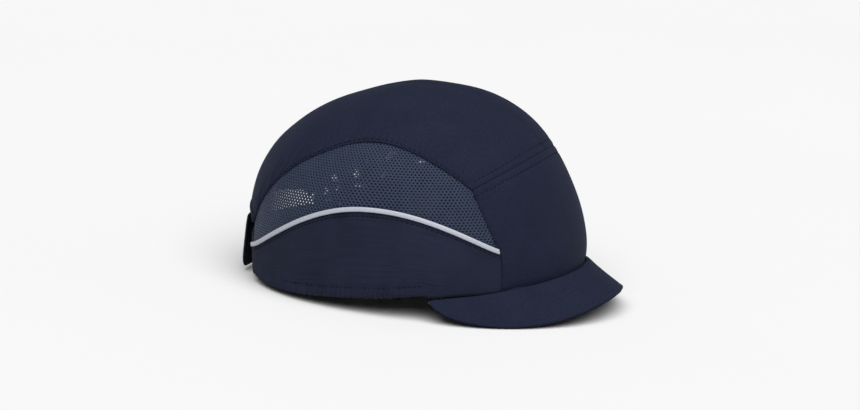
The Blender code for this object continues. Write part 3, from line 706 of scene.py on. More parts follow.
def make_side_panels(cloth):
    """Plain cloth below the piping, with gathers along the stretch hem and a soft crease under the piping."""
    u, v = np.meshgrid(stops(0.168, 0.00062), stops(0.040, 0.00085))
    start = float(hem_height(np.array(FRONT_EDGE_ANGLE)))
    turn, height = side_grid(side_hem_height, piping_height, start, PIPING_FRONT, 0.0, 0.0013, u, v)
    for name, side in (("left", 1), ("right", -1)):
        even = cap_surface(side * turn, height)
        up, down = runs(even, 0)
        front, rear = runs(even, 1)
        free = 1 - smooth_step(turn, math.radians(116), math.radians(130))
        depth = groove(front, SEAM_DIP, DIP_WIDTH) + groove(rear, 0.0003, 0.0006)
        depth += groove(down, 0.0005, 0.0009) + groove(up, 0.0003 + 0.0003 * free, 0.0012)
        depth += groove(down - 0.0024, cloth.stitch_sink * 0.9, 0.0006)
        hemmed = smooth_step(turn, math.radians(69), math.radians(74))
        depth += groove(up - 0.0062, cloth.stitch_sink * free * hemmed, 0.0007)
        depth += pucker(front, down, 0.0035, cloth.pucker * 0.7, 0.005)
        ruffled = smooth_step(turn, math.radians(71), math.radians(82))
        wander = 2.2 * np.sin(front * 71) + 1.1 * np.sin(front * 173)
        waves = np.sin(front * 2 * math.pi / GATHER_PITCH + wander)
        depth -= ruffled * between(0.35, 1.0, free) * cloth.ruffle * waves * groove(up, 1, 0.0042)
        slow = np.sin(front * 2 * math.pi / 0.0105 + 1.5 * np.sin(front * 53))
        depth -= ruffled * between(0.3, 1.0, free) * 0.00028 * slow * groove(up, 1, 0.011)
        crease = (np.degrees(turn) - 99) * 0.0015 + (height - 0.045) * 0.10
        depth += groove(crease, 0.0007, 0.0042) * groove(down - 0.004, 1, 0.017)
        second_crease = (np.degrees(turn) - 88) * 0.0015
        depth += groove(second_crease, 0.00035, 0.0035) * groove(down - 0.003, 1, 0.012)
        points = cloth_point(side * turn, height, depth)
        points[..., 2] -= ruffled * 0.00032 * np.abs(np.sin(front * math.pi / 0.0047 + np.sin(front * 91))) \
            * groove(up, 1, 0.002)
        cloth_piece(f"side_cloth_{name}", points, flat_uv(turn, even), FABRIC,
                    "navy_side_fabric", "root", [f"side_panel_{name}"])


def make_hem_facings():
    """The turned-up hem, a band of the side cloth just inside it."""
    u, v = np.meshgrid(stops(0.115, 0.0013), stops(0.0068, 0.0011))
    turn = between(math.radians(47.5), math.radians(118), u)
    height = np.maximum(side_hem_height(turn), hem_height(turn)) + 0.0005 + 0.0068 * v
    for name, side in (("left", 1), ("right", -1)):
        even = cap_surface(side * turn, height)
        up, down = runs(even, 0)
        front = runs(even, 1)[0]
        wave = 0.00018 * np.sin(front * 2 * math.pi / GATHER_PITCH) * smooth_step(turn, 1.2, 1.5)
        depth = 0.00185 + wave - groove(down, 0.0002, 0.0008) - groove(up, 0.0002, 0.0007)
        points = cloth_point(side * turn, height, depth)
        cloth_piece(f"hem_facing_{name}", points, flat_uv(turn, even), 0.0006, "navy_side_fabric", "root", [])


def mesh_lattice(pitch, row, hole):
    """One cell of perforated knit: twelve points on its border and twelve round its hole, in cell shares."""
    quarter = pitch / 4
    bottom = [(step, -1) for step in (-2, -1, 0, 1, 2)]
    top = [(step, 1) for step in (2, 1, 0, -1, -2)]
    border = np.array([*bottom, (2, 0), *top, (-2, 0)], float) * (quarter, row / 2)
    bearing = np.arctan2(border[:, 1] / row, border[:, 0] / pitch)
    ring = hole * np.stack([np.cos(bearing) * 0.5, np.sin(bearing) * 0.42], -1)
    return np.concatenate([border, ring])


def make_mesh_panels(cloth):
    """Perforated knit: a brick pattern of cells, cut to the panel's outline a little under its neighbours."""
    pitch, row, under = cloth.hole_pitch, cloth.hole_row, 0.0026
    radius = CLOTH_RADIUS
    template = mesh_lattice(pitch, row, cloth.hole_size)
    columns = np.arange(int(0.19 / pitch))
    rows = np.arange(int(0.085 / row))
    s, t = np.meshgrid(columns * pitch, rows * row)
    s = s + (rows % 2)[:, None] * pitch / 2
    cells = np.stack([s.ravel() + CORNER * radius - 0.016, t.ravel() + 0.012], -1)
    points = cells[:, None, :] + template[None]
    low_run, low_height_at = np.linspace(0, 0.12, 400), np.linspace(0, 0.1, 400)
    upright = cap_surface(np.full(400, math.radians(95)), low_height_at)
    low_run = np.concatenate([[0], np.cumsum(np.linalg.norm(np.diff(upright, axis=0), axis=-1))])

    def outline(turn):
        inner = np.clip(turn, 0, REAR_EDGE_ANGLE)
        return piping_height(inner) - under * 0.5, mesh_top_height(inner) + under / 1.25

    turn = points[..., 0] / radius
    height = np.interp(points[..., 1], low_run, low_height_at)
    low, high = outline(turn)
    front = front_edge(np.clip(height, 0, 1)) - under / radius
    middle_turn, middle_height = turn[:, :12].mean(1), height[:, :12].mean(1)
    middle_low, middle_high = outline(middle_turn)
    middle_front = front_edge(middle_height) - under / radius
    rear = REAR_EDGE_ANGLE + 0.0005 / radius
    slack, lean = row * 0.7, pitch * 0.7 / radius
    kept = (middle_height > middle_low - slack) & (middle_height < middle_high + slack)
    kept &= (middle_turn > middle_front - lean) & (middle_turn < rear + lean)
    turn = np.clip(turn, front, rear)[kept]
    low, high = outline(turn)
    height = np.clip(height[kept], low, high)
    count = len(turn)
    ring = np.arange(12)
    following = (ring + 1) % 12
    quads = np.stack([ring, following, following + 12, ring + 12], -1)
    faces = (quads[None] + (np.arange(count) * 24)[:, None, None]).reshape(-1, 4)
    rim = np.concatenate([np.zeros(12), np.ones(12)])[None]
    for name, side in (("left", 1), ("right", -1)):
        depth = 0.00105 + 0.00013 * rim + groove((turn - front_edge(height)) * radius, 0.0004, 0.0025)
        points = cloth_point(side * turn, height, depth)
        uv = np.stack([turn * radius, np.interp(height, low_height_at, low_run)], -1)
        mesh = cleaned(new_mesh(f"mesh_knit_{name}", points, [faces], uv), (0, 0, 0.03), merge=2e-5)
        area = sheet_area(mesh)
        obj = add_wall(place(f"mesh_knit_{name}", mesh, "navy_mesh", "root", [f"mesh_panel_{name}"]), 0.0005)
        obj.modifiers["wall"].use_even_offset = False


# ---------------------------------------------------------------- trim


def seam_line(angle, height, depth):
    """A line on the cloth and its normals."""
    return cloth_point(angle, height, depth), cap_normal(angle, height)


def make_piping(trim):
    """Reflective piping: a flattened bead along its seam, cut on a slant in front."""
    turn = np.linspace(front_edge(PIPING_FRONT) + 0.004, REAR_EDGE_ANGLE - 0.004, 220)
    loop = np.linspace(0, 2 * math.pi, 18, endpoint=False)
    wide = signed_power(np.cos(loop), 0.6) * trim.piping_width / 2
    deep = signed_power(np.sin(loop), 0.7) * 0.00095
    for name, side in (("left", 1), ("right", -1)):
        line, normal = seam_line(side * turn, piping_height(turn) + 0.0001, np.full_like(turn, -0.00035))
        tangent, normal, across = line_frames(line, normal)
        up = across * np.sign(across[:, 2:3].mean())
        run = runs(line[None], 1)[0][0]
        slant = 0.45 * np.exp(-run / 0.0025)
        shrink = np.minimum(1, 0.86 + np.minimum(run, run[-1] - run) / 0.0012)
        rings = line[:, None] + wide[None, :, None] * up[:, None]
        rings = rings + (deep * shrink[:, None])[..., None] * normal[:, None]
        rings = rings + (slant[:, None] * wide[None])[..., None] * tangent[:, None]
        rings = rings + 0.00007 * np.sin(run * 2 * math.pi / 0.0031)[:, None, None] * normal[:, None]
        place(f"piping_bead_{name}", tube_mesh(f"piping_bead_{name}", rings), "reflective_piping", "root",
              [f"piping_{name}"])


def stitch_template(length, radius):
    """One stitch: a thread that rises from the cloth, lies along it and dives again, 32 faces."""
    along = np.array([-0.5, -0.42, -0.2, 0.2, 0.42, 0.5])
    thick = radius * np.array([0.45, 0.85, 1, 1, 0.85, 0.45])
    lift = radius * np.array([-1.6, -0.4, 0.35, 0.35, -0.4, -1.6])
    loop = np.linspace(0, 2 * math.pi, 6, endpoint=False)
    x = np.repeat(along[:, None] * length, 6, 1)
    y = thick[:, None] * np.cos(loop)
    z = thick[:, None] * np.sin(loop) + lift[:, None]
    ends = [[5, 4, 3, 2, 1, 0], list(range(30, 36))]
    return np.stack([x, y, z], -1).reshape(-1, 3), grid_faces(6, 6, closed=True), np.array(ends)


def make_stitching(name, lines, trim, slot="navy_thread"):
    """Rows of stitches: each line is walked at the stitch pitch, and the template is set along it."""
    template, quads, ends = stitch_template(trim.stitch_length, trim.thread_radius)
    points = []
    for line, normal in lines:
        run = np.concatenate([[0], np.cumsum(np.linalg.norm(np.diff(line, axis=0), axis=-1))])
        at = np.arange(trim.stitch_pitch * 0.7, run[-1] - trim.stitch_pitch * 0.5, trim.stitch_pitch)
        spot = np.stack([np.interp(at, run, line[:, axis]) for axis in range(3)], -1)
        tangent, upright, across = line_frames(line, normal)
        frames = [np.stack([np.interp(at, run, part[:, axis]) for axis in range(3)], -1)
                  for part in (tangent, across, upright)]
        offsets = sum(template[None, :, axis, None] * frames[axis][:, None] for axis in range(3))
        points.append(spot[:, None] + offsets)
    points = np.concatenate(points)
    shift = (np.arange(len(points)) * len(template))[:, None, None]
    faces = [(quads[None] + shift).reshape(-1, 4), (ends[None] + shift).reshape(-1, 6)]
    mesh = cleaned(new_mesh(name, points.reshape(-1, 3), faces), merge=1e-7)
    mesh.shade_smooth()
    mesh.materials.append(finished(slot))
    obj = bpy.data.objects.new(name, mesh)
    bpy.context.scene.collection.objects.link(obj)
    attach(obj, "root")
    return obj


def make_all_stitching(cloth, trim):
    sink = cloth.stitch_sink - 0.00008
    brow = np.linspace(-CORNER + 0.01, CORNER - 0.01, 240)
    lines = []
    for offset in (cloth.topstitch * 0.97, -cloth.topstitch * 1.05):
        height = front_seam_height(brow) + offset * 0.80
        lines.append(seam_line(brow, height, np.full_like(brow, sink)))
    make_stitching("brow_stitches", lines, trim)
    for name, side in (("left", 1), ("right", -1)):
        turn = np.linspace(CORNER + 0.01, REAR_EDGE_ANGLE - 0.01, 300)
        steep = np.interp(turn, [CORNER, 1.2, 1.6, 2.1, REAR_EDGE_ANGLE], [0.86, 0.80, 0.78, 0.90, 1.0])
        top = seam_line(side * turn, mesh_top_height(turn) + 0.0021 * steep, np.full_like(turn, sink))
        arch = np.linspace(REAR_EDGE_ANGLE + 0.01, math.pi - 0.015, 60)
        back = seam_line(side * arch, arch_height(arch) + 0.0022, np.full_like(arch, sink))
        make_stitching(f"crown_stitches_{name}", [top, back], trim)
        turn = np.linspace(front_edge(PIPING_FRONT) + 0.02, REAR_EDGE_ANGLE - 0.02, 300)
        below = seam_line(side * turn, piping_height(turn) - 0.0013 - 0.0024, np.full_like(turn, sink))
        turn = np.linspace(math.radians(72), math.radians(124), 240)
        hem = seam_line(side * turn, side_hem_height(turn) + 0.0062, np.full_like(turn, sink))
        make_stitching(f"side_stitches_{name}", [below, hem], trim)


def make_seam_tapes():
    width = SEAM_TAPE_WIDTH
    u, v = np.meshgrid(stops(0.150, 0.0016), stops(width, 0.0012, False, False))
    turn = between(-CORNER, CORNER, u)
    height = front_seam_height(turn) + width * (v - 0.5)
    points, uv = cap_layer(turn, height, np.full_like(turn, 0.0014)), flat_uv(turn, cap_surface(turn, height))
    cloth_piece("brow_seam_tape", points, uv, SEAM_TAPE, "seam_tape", "root", ["front_seam_tape"])
    u, v = np.meshgrid(np.linspace(0, 1, 110), np.linspace(0, 1, 9))
    low_front = float(front_seam_height(np.array(0.0))) + width / 2 + SEAM_GAP * 2
    low_rear = float(arch_height(np.array(math.pi))) + 0.004
    along = 2 * u - 1
    low = np.where(along < 0, low_front, low_rear)
    height = CROWN_HEIGHT * (1 - (1 - low / CROWN_HEIGHT) * np.abs(along) ** DOME_POWER)
    spine = cap_layer(np.where(along < 0, 0.0, math.pi), height, np.full_like(u, 0.0017))
    spine[..., 0] = (v - 0.5) * width
    spine[..., 2] -= spine[..., 0] ** 2 / CROWN_HEIGHT
    uv = np.stack([u * 0.24, v * width], -1)
    cloth_piece("middle_seam_tape", spine, uv, SEAM_TAPE, "seam_tape", "root", ["centre_seam_tape"])


def make_arch_binding():
    """A folded binding over the cut edge above the rear opening."""
    offs = np.linspace(-1, 1, 90)
    turn = math.pi + offs * (math.pi - REAR_EDGE_ANGLE - math.radians(1.2))
    height = MESH_REAR + ARCH_RISE * (1 - np.abs(offs) ** 3) ** (1 / 2) - 0.0008
    loop = np.linspace(0, 2 * math.pi, 16, endpoint=False)
    line, normal = seam_line(turn, height, np.full_like(turn, 0.00055))
    normal, across = line_frames(line, normal)[1:]
    run = runs(line[None], 1)[0][0]
    tall = signed_power(np.cos(loop), 0.7) * 0.00165
    thick = 0.00105 + 0.00006 * np.sin(run * 2 * math.pi / 0.0029)
    deep = signed_power(np.sin(loop), 0.8)[None] * thick[:, None]
    rings = line[:, None] + tall[None, :, None] * across[:, None] + deep[..., None] * normal[:, None]
    mesh = tube_mesh("arch_binding_tape", rings)
    place("arch_binding_tape", mesh, "seam_tape", "root", ["rear_arch_binding"])


def make_hem_elastics():
    u, v = np.meshgrid(np.linspace(0, 1, 150), np.linspace(0, 1, 12))
    turn = between(ELASTIC_FROM, ELASTIC_TO, u)
    height = hem_height(turn) + ELASTIC_RISE + ELASTIC_HEIGHT * v
    for name, side in (("left", 1), ("right", -1)):
        run = runs(cap_surface(side * turn, height), 1)[0]
        ribs = 0.00012 * np.sin(run * 2 * math.pi / 0.0024) + 0.0001 * np.cos(v * 8 * math.pi)
        points = cap_layer(side * turn, height, ELASTIC_DEPTH + ribs)
        cloth_piece(f"elastic_band_{name}", points, flat_uv(turn, cap_surface(turn, height)), ELASTIC,
                    "black_elastic", "root", [f"hem_elastic_{name}"])


def peak_surface(u, v, drop):
    """From the hem outwards: the slope steepens and the reach dies away towards the ends of the peak."""
    share = PEAK_END * (2 * u - 1)
    turn = share * PEAK_HALF_ANGLE
    root = cap_surface(turn, hem_height(turn))
    step = 1e-4
    along = cap_surface(turn + step, hem_height(turn + step)) - root
    outward = np.stack([along[..., 1], -along[..., 0], np.zeros_like(turn)], -1)
    outward /= np.linalg.norm(outward, axis=-1, keepdims=True)
    reach = between(PEAK_LENGTH, PEAK_SIDE_LENGTH, share**2) * np.sqrt(1 - np.abs(share) ** PEAK_TAPER)
    slope = between(PEAK_SLOPE, PEAK_SIDE_SLOPE, 1 - (1 - share**2) ** PEAK_SLOPE_POWER)
    upright = np.array([0, 0, 1.0])
    cos, sin = np.cos(slope)[..., None], np.sin(slope)[..., None]
    ahead, normal = cos * outward - sin * upright, sin * outward + cos * upright
    start = root - np.array([0, 0, PEAK_DROP])
    middle = start + v[..., None] * (root + reach[..., None] * ahead - start)
    return middle + (0.0015 - np.asarray(drop))[..., None] * normal


def make_peak():
    """Top and under cloth over a stiff board: the top cloth rolls over the edge to meet the under cloth."""
    below = (0, -0.06, -0.15)
    ends = stops(0.21, 0.0014)
    u, v = np.meshgrid(ends, stops(0.030, 0.0010))
    rim = np.clip((v - 0.955) / 0.045, 0, 1)
    tips = np.clip((np.abs(2 * u - 1) - 0.975) / 0.025, 0, 1)
    edge = 1 - np.sqrt(1 - np.maximum(rim, tips * 0.5) ** 2 * 0.99)
    sag = 0.00022 * np.sin(u * 9 + 0.7) * np.sin(v * math.pi) + groove(v - 0.90, 0.00012, 0.02)
    sag += groove(v * PEAK_LENGTH, 0.0011, 0.0012) * (1 - smooth_step(np.abs(2 * u - 1), 0.80, 0.96))
    top = peak_surface(u, v, 0.0012 * edge + sag)
    uv = np.stack([u * 0.21, v * 0.030], -1)
    cover = cloth_piece("peak_cloth_top", top, uv, 0.0007, "navy_fabric", "root", ["peak_top_cover"], below)
    cover.modifiers["wall"].use_even_offset = False
    board = peak_surface(u, between(0.03, 0.975, v), np.full_like(u, 0.0010))
    mesh = cleaned(new_mesh("peak_stiffener", board, [grid_faces(*u.shape)], uv), below)
    add_wall(place("peak_stiffener", mesh, "peak_board_plastic", "root", ["peak_board"]), 0.0014)
    under = peak_surface(u, between(-0.1, 0.990, v), 0.0027 - 0.0006 * edge)
    cloth_piece("peak_cloth_under", under, uv, 0.0007, "navy_fabric", "root", ["peak_under_cover"], below)


def make_sweatband():
    """Towelling over a thin foam, with its terry loops as small relief and a turned edge."""
    half = math.radians(74)
    u, v = np.meshgrid(stops(0.24, 0.00075), stops(SWEATBAND_HEIGHT, 0.0008))
    turn = between(-half, half, u)
    height = hem_height(turn) + 0.001 + SWEATBAND_HEIGHT * v
    even = cap_surface(turn, height)
    up, down = runs(even, 0)
    run, rest = runs(even, 1)
    edge = np.minimum(np.minimum(up, down), np.minimum(run, rest))
    terry = 0.00013 * np.sin(run * 2400) * np.sin(up * 2250 + 0.8 * np.sin(run * 311))
    depth = PAD_DEPTH + terry + groove(edge, 0.0006, 0.0014)
    points, uv = cap_layer(turn, height, depth), np.stack([turn * 0.09, up], -1)
    cloth_piece("towelling_band", points, uv, SWEATBAND - 0.0006, "black_towelling", "root", ["sweatband"])


# ---------------------------------------------------------------- shell and pads


def slot_block(length, width, depth, location, turn):
    """A cutter: a stadium outline with two round ends, carried through a depth."""
    half = length / 2 - width / 2
    arc = np.linspace(-math.pi / 2, math.pi / 2, 13)
    right = np.stack([half + width / 2 * np.cos(arc), width / 2 * np.sin(arc)], -1)
    outline = np.vstack([right, -right])
    levels = (-depth / 2, depth / 2)
    rings = np.stack([np.column_stack([outline, np.full(len(outline), level)]) for level in levels])
    turned = rings.reshape(-1, 3) @ np.array(turn.to_matrix()).T + location
    count = len(outline)
    faces = [grid_faces(2, count, closed=True), [list(range(count))[::-1], list(range(count, 2 * count))]]
    return cleaned(new_mesh("vent_cutter", turned, faces), merge=1e-6)


def vent_cutters():
    upright = Euler((math.pi / 2, math.pi / 2, math.pi / 2))
    blocks = []
    for index in range(SIDE_VENTS):
        from_middle = index - (SIDE_VENTS - 1) / 2
        rise = SIDE_VENT_MIDDLE - SIDE_VENT_FALL * from_middle**2
        spot = (0, SIDE_VENT_PITCH * from_middle + SIDE_VENT_SHIFT, rise)
        blocks.append((SIDE_VENT_HEIGHT, SIDE_VENT_WIDTH, 0.3, spot, upright))
    for index in range(TOP_VENTS):
        for side in (-1, 1):
            lean = Euler((0, side * TOP_VENT_LEAN, math.pi / 2))
            spot = (side * TOP_VENT_SIDE, TOP_VENT_START + TOP_VENT_PITCH * index, TOP_VENT_RISE)
            blocks.append((TOP_VENT_LENGTH, TOP_VENT_WIDTH, 0.06, spot, lean))
    return [slot_block(*block) for block in blocks]


def make_hard_shell():
    """The impact shell: a smooth dome with a swept edge, cut through by its vents."""
    turn, v = np.meshgrid(np.linspace(-math.pi, math.pi, 240), np.linspace(0, 1, 64))
    low = shell_low_height(turn)
    height = np.minimum(CROWN_HEIGHT * (1 - (1 - low / CROWN_HEIGHT) * (1 - v) ** DOME_POWER), CROWN_HEIGHT)
    points = cap_layer(turn, height, np.full_like(turn, SHELL_DEPTH))
    mesh = cleaned(new_mesh("impact_shell", points, [grid_faces(*turn.shape)]), (0, 0, 0.03))
    shell = add_wall(place("impact_shell", mesh, "black_shell", "root", ["hard_shell"]), SHELL)
    gather = bmesh.new()
    for cutter in vent_cutters():
        gather.from_mesh(cutter)
    merged = bpy.data.meshes.new("vent_cutters")
    gather.to_mesh(merged)
    gather.free()
    tool = bpy.data.objects.new("vent_cutters", merged)
    bpy.context.scene.collection.objects.link(tool)
    cut = shell.modifiers.new("vents", "BOOLEAN")
    cut.operation = "DIFFERENCE"
    cut.object = tool
    cut.solver = "EXACT"
    cut.use_self = True
    apply_modifiers(shell)
    bpy.data.objects.remove(tool)
    shell.data.set_sharp_from_angle(angle=math.radians(40))
    return shell


def apply_modifiers(obj):
    """Makes the evaluated mesh the object's own mesh and drops its modifiers."""
    bpy.context.view_layer.update()
    graph = bpy.context.evaluated_depsgraph_get()
    final = bpy.data.meshes.new_from_object(obj.evaluated_get(graph), depsgraph=graph)
    obj.modifiers.clear()
    obj.data = final
    return obj


def inflate(obj, pressure, cap, voxel):
    """Blows a pad up as cloth: an even remesh, twenty frames of pressure, then each move is capped."""
    remesh = obj.modifiers.new("even", "REMESH")
    remesh.mode = "VOXEL"
    remesh.voxel_size = voxel
    apply_modifiers(obj)
    start = np.empty(len(obj.data.vertices) * 3)
    obj.data.vertices.foreach_get("co", start)
    cloth = obj.modifiers.new("cloth", "CLOTH")
    cloth.settings.quality = 4
    cloth.settings.use_pressure = True
    cloth.settings.uniform_pressure_force = pressure
    cloth.settings.effector_weights.gravity = 0
    cloth.settings.tension_stiffness = cloth.settings.compression_stiffness = 25
    cloth.point_cache.frame_start, cloth.point_cache.frame_end = 1, 20
    for step in range(1, 21):
        bpy.context.scene.frame_set(step)
    apply_modifiers(obj)
    bpy.context.scene.frame_set(1)
    moved = np.empty_like(start)
    obj.data.vertices.foreach_get("co", moved)
    shift = (moved - start).reshape(-1, 3)
    far = np.linalg.norm(shift, axis=1, keepdims=True)
    shift *= np.minimum(1, cap / np.maximum(far, 1e-9))
    obj.data.vertices.foreach_set("co", (start + shift.ravel()))
    obj.data.update()
    smooth = obj.modifiers.new("even", "SMOOTH")
    smooth.iterations = 3
    smooth.factor = 0.5
    rounder = obj.modifiers.new("round", "SUBSURF")
    rounder.levels = rounder.render_levels = 1
    apply_modifiers(obj)
    return obj


def pad_piece(name, turn, height, node, flat_top=None):
    """A foam pad: a closed block between two layers, slightly small, then inflated."""
    rows, columns = turn.shape
    inset = 0.0004
    outer = cap_layer(turn, height, np.full_like(turn, PAD_DEPTH + inset))
    inner = cap_layer(turn, height, np.full_like(turn, PAD_DEPTH + PAD - 0.0012))
    if flat_top:
        outer[..., 2] = np.minimum(outer[..., 2], flat_top - inset)
        inner[..., 2] = np.minimum(inner[..., 2], flat_top - PAD + 0.0012)
    mesh = cleaned(new_mesh(name, outer, [grid_faces(rows, columns)]), (0, 0, 0.03))
    obj = place(name, mesh, "black_foam", "root", [node])
    add_wall(obj, PAD - inset - 0.0012)
    apply_modifiers(obj)
    inflate(obj, 4.0, 0.0009, 0.0016)
    obj.data.materials.clear()
    obj.data.materials.append(finished("black_foam"))
    obj.data.shade_smooth()
    return obj


def make_pads():
    turn, v = np.meshgrid(np.linspace(-math.pi, math.pi, 61), np.linspace(0.03, 1, 16))
    height = CROWN_HEIGHT * (1 - CROWN_PAD_SHARE * (1 - v) ** DOME_POWER)
    pad_piece("crown_cushion", turn, height, "crown_pad", flat_top=CROWN_PAD_FLAT)

    def upright(first, last, low, high, columns=40, rows=20):
        turn, v = np.meshgrid(np.linspace(first, last, columns), np.linspace(0, 1, rows))
        return turn, between(low(turn), high(turn), v)

    level = np.full_like
    brow = upright(
        -BROW_HALF_ANGLE, BROW_HALF_ANGLE,
        lambda a: hem_height(a) + SWEATBAND_HEIGHT + BROW_GAP,
        lambda a: level(a, BROW_TOP))
    pad_piece("brow_cushion", *brow, "front_pad")
    nape = upright(
        math.pi - NAPE_HALF_ANGLE, math.pi + NAPE_HALF_ANGLE,
        lambda a: level(a, NAPE_LOW),
        lambda a: level(a, NAPE_TOP))
    pad_piece("nape_cushion", *nape, "rear_pad")
    for name, side in (("left", 1), ("right", -1)):
        turn, height = upright(
            TEMPLE_FROM, TEMPLE_TO,
            lambda a: np.maximum(shell_low_height(a), hem_height(a) + SWEATBAND_HEIGHT + 0.001) + TEMPLE_GAP,
            lambda a: shell_low_height(a) * TEMPLE_TOP_SHARE + TEMPLE_TOP)
        pad_piece(f"temple_cushion_{name}", side * turn, height, f"side_pad_{name}")


# ---------------------------------------------------------------- closure at the rear


def tab_lift(turn, height):
    """How far the pull tab curls out: more towards its end, and more towards its lower edge."""
    along = smooth_step(turn, TAB_ROOT, TAB_END)
    return along * between(TAB_CURL_LOW, TAB_CURL_HIGH, smooth_step(height, TAB_LOW + 0.004, TAB_HIGH))


def band_rings(first, last, radius, wall, low, high, round_end=0.0, edge_power=0.35, lifted=False):
    """A band along the closure's arc: a rounded rectangle carried round it, whose last end may be round."""
    length = abs(last - first) * radius
    share = stops(length, 0.0011)
    turn = between(first, last, share)
    left = length * (1 - share)
    pinch = np.clip(1 - left / round_end, 0, 1) if round_end else np.zeros_like(left)
    inset = round_end * (1 - np.sqrt(1 - 0.96 * pinch**2)) * 0.8
    thin = np.minimum(1, 0.55 + np.minimum(left, length - left) / 0.0008 * 0.45)
    loop = np.linspace(0, 2 * math.pi, 44, endpoint=False)
    tall = signed_power(np.cos(loop), edge_power)
    deep = signed_power(np.sin(loop), 0.55)
    half = ((high - low) / 2 - inset)[:, None] * tall[None]
    height = (low + high) / 2 + half
    away = radius - wall / 2 + deep[None] * (wall / 2 * thin)[:, None]
    edge = (high - low) / 2 - np.abs(half)
    away = away - np.sign(deep)[None] * groove(edge - 0.0024, 0.00016, 0.0006)
    if lifted:
        away = away + tab_lift(turn[:, None], height)
    return np.stack([STRAP_CENTRE[0] - away * np.sin(turn)[:, None],
                     STRAP_CENTRE[1] + away * np.cos(turn)[:, None], height], -1)


def band_piece(name, finish, body, replaced, first, last, radius, wall, low, high, trim=0.0, **options):
    """A band along the arc; a trim takes a little off the lower edge that shows."""
    rings = band_rings(first, last, radius, wall, low + trim, high, **options)
    piece = place(name, tube_mesh(name, rings), finish, body, [replaced])


def make_closure():
    middle = (STRAP_LOW + STRAP_HIGH) / 2
    hook_radius = STRAP_RADIUS - STRAP - SEAM_GAP
    pile_radius = hook_radius - PATCH - SEAM_GAP
    loop_radius = pile_radius - PATCH - SEAM_GAP
    low, high = STRAP_LOW, STRAP_HIGH
    inner_radius = loop_radius - LOOP_STRAP - SEAM_GAP
    band_piece("loop_webbing", "navy_webbing", "root", "loop_strap",
               LOOP_FROM, LOOP_TO, loop_radius, LOOP_STRAP, low, high)
    band_piece("loop_pile", "hook_and_loop", "root", "loop_patch",
               LOOP_FROM + PILE_INSET, PILE_TO, pile_radius, PATCH, low + PATCH_EDGE, high - PATCH_EDGE)
    band_piece("size_tag", "blank_label", "root", "size_label",
               -TAG_TURN, TAG_TURN, inner_radius, TAG, middle - TAG_HEIGHT / 2, middle + TAG_HEIGHT / 2)
    band_piece("adjuster_webbing", "navy_webbing", "adjuster", "adjuster_strap",
               STRAP_TAIL, TAB_ROOT - FOLD_GAP, STRAP_RADIUS, STRAP, low, high)
    band_piece("pull_tab_webbing", "navy_webbing", "tab", "pull_tab", TAB_ROOT, TAB_END, STRAP_RADIUS, STRAP,
               TAB_LOW, TAB_HIGH, trim=TAB_TRIM, round_end=0.011, lifted=True)
    band_piece("hook_tape", "hook_and_loop", "tab", "hook_patch",
               TAB_ROOT + HOOK_INSET, TAB_END - HOOK_END_INSET, hook_radius, PATCH,
               low + PATCH_EDGE, high - PATCH_EDGE, lifted=True)
    rings = band_rings(TAB_ROOT - FOLD_GAP - FOLD_LAP, TAB_ROOT + FOLD_LAP,
                       STRAP_RADIUS - 0.0001, STRAP - 0.0002, low + 0.0003, high - 0.0003)
    obj = place("tab_fold", tube_mesh("tab_fold", rings), "navy_webbing", None)
    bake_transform(obj)


# ---------------------------------------------------------------- settings, operators and panel


def colour(name, description, default):
    return bpy.props.FloatVectorProperty(
        name=name, description=description, default=default, subtype="COLOR", size=3, min=0, max=1
    )


def number(name, description, default):
    return bpy.props.FloatProperty(name=name, description=description, default=default)


def turned(name, description, degrees):
    return bpy.props.FloatProperty(
        name=name, description=description, default=math.radians(degrees), subtype="ANGLE"
    )


def size(name, description, default, **options):
    return bpy.props.FloatProperty(
        name=name, description=description, default=default, precision=5, unit="LENGTH", **options
    )


class CapClothSettings(bpy.types.PropertyGroup):
    """Sizes and colours of the cloth and the mesh."""

    crown_colour: colour("Main cloth", "Colour of the crown, front panel and peak", (0.0084, 0.0113, 0.0262))
    side_colour: colour("Side cloth", "Colour of the panels below the piping", (0.0112, 0.0136, 0.0285))
    mesh_colour: colour("Mesh", "Colour of the perforated side mesh", (0.0184, 0.0272, 0.0545))
    weave_pitch: size("Weave pitch", "Distance from thread to thread", 0.00045)
    sheen: number("Sheen", "Strength of the napped sheen", 0.03)
    topstitch: size("Topstitch distance", "Distance of the topstitching from its seam", 0.0048)
    stitch_sink: size("Stitch sink", "How deep a row of stitches pulls into the cloth", 0.00036)
    pucker: size("Pucker depth", "Depth of the gathers beside a seam", 0.00042)
    ruffle: size("Hem ruffle", "Height of the gathers along the stretch hem", 0.00050)
    hole_pitch: size("Hole pitch", "Distance between mesh holes along a row", 0.0024)
    hole_row: size("Hole row", "Distance between rows of mesh holes", 0.0017)
    hole_size: size("Hole size", "Width of a mesh hole", 0.00098)


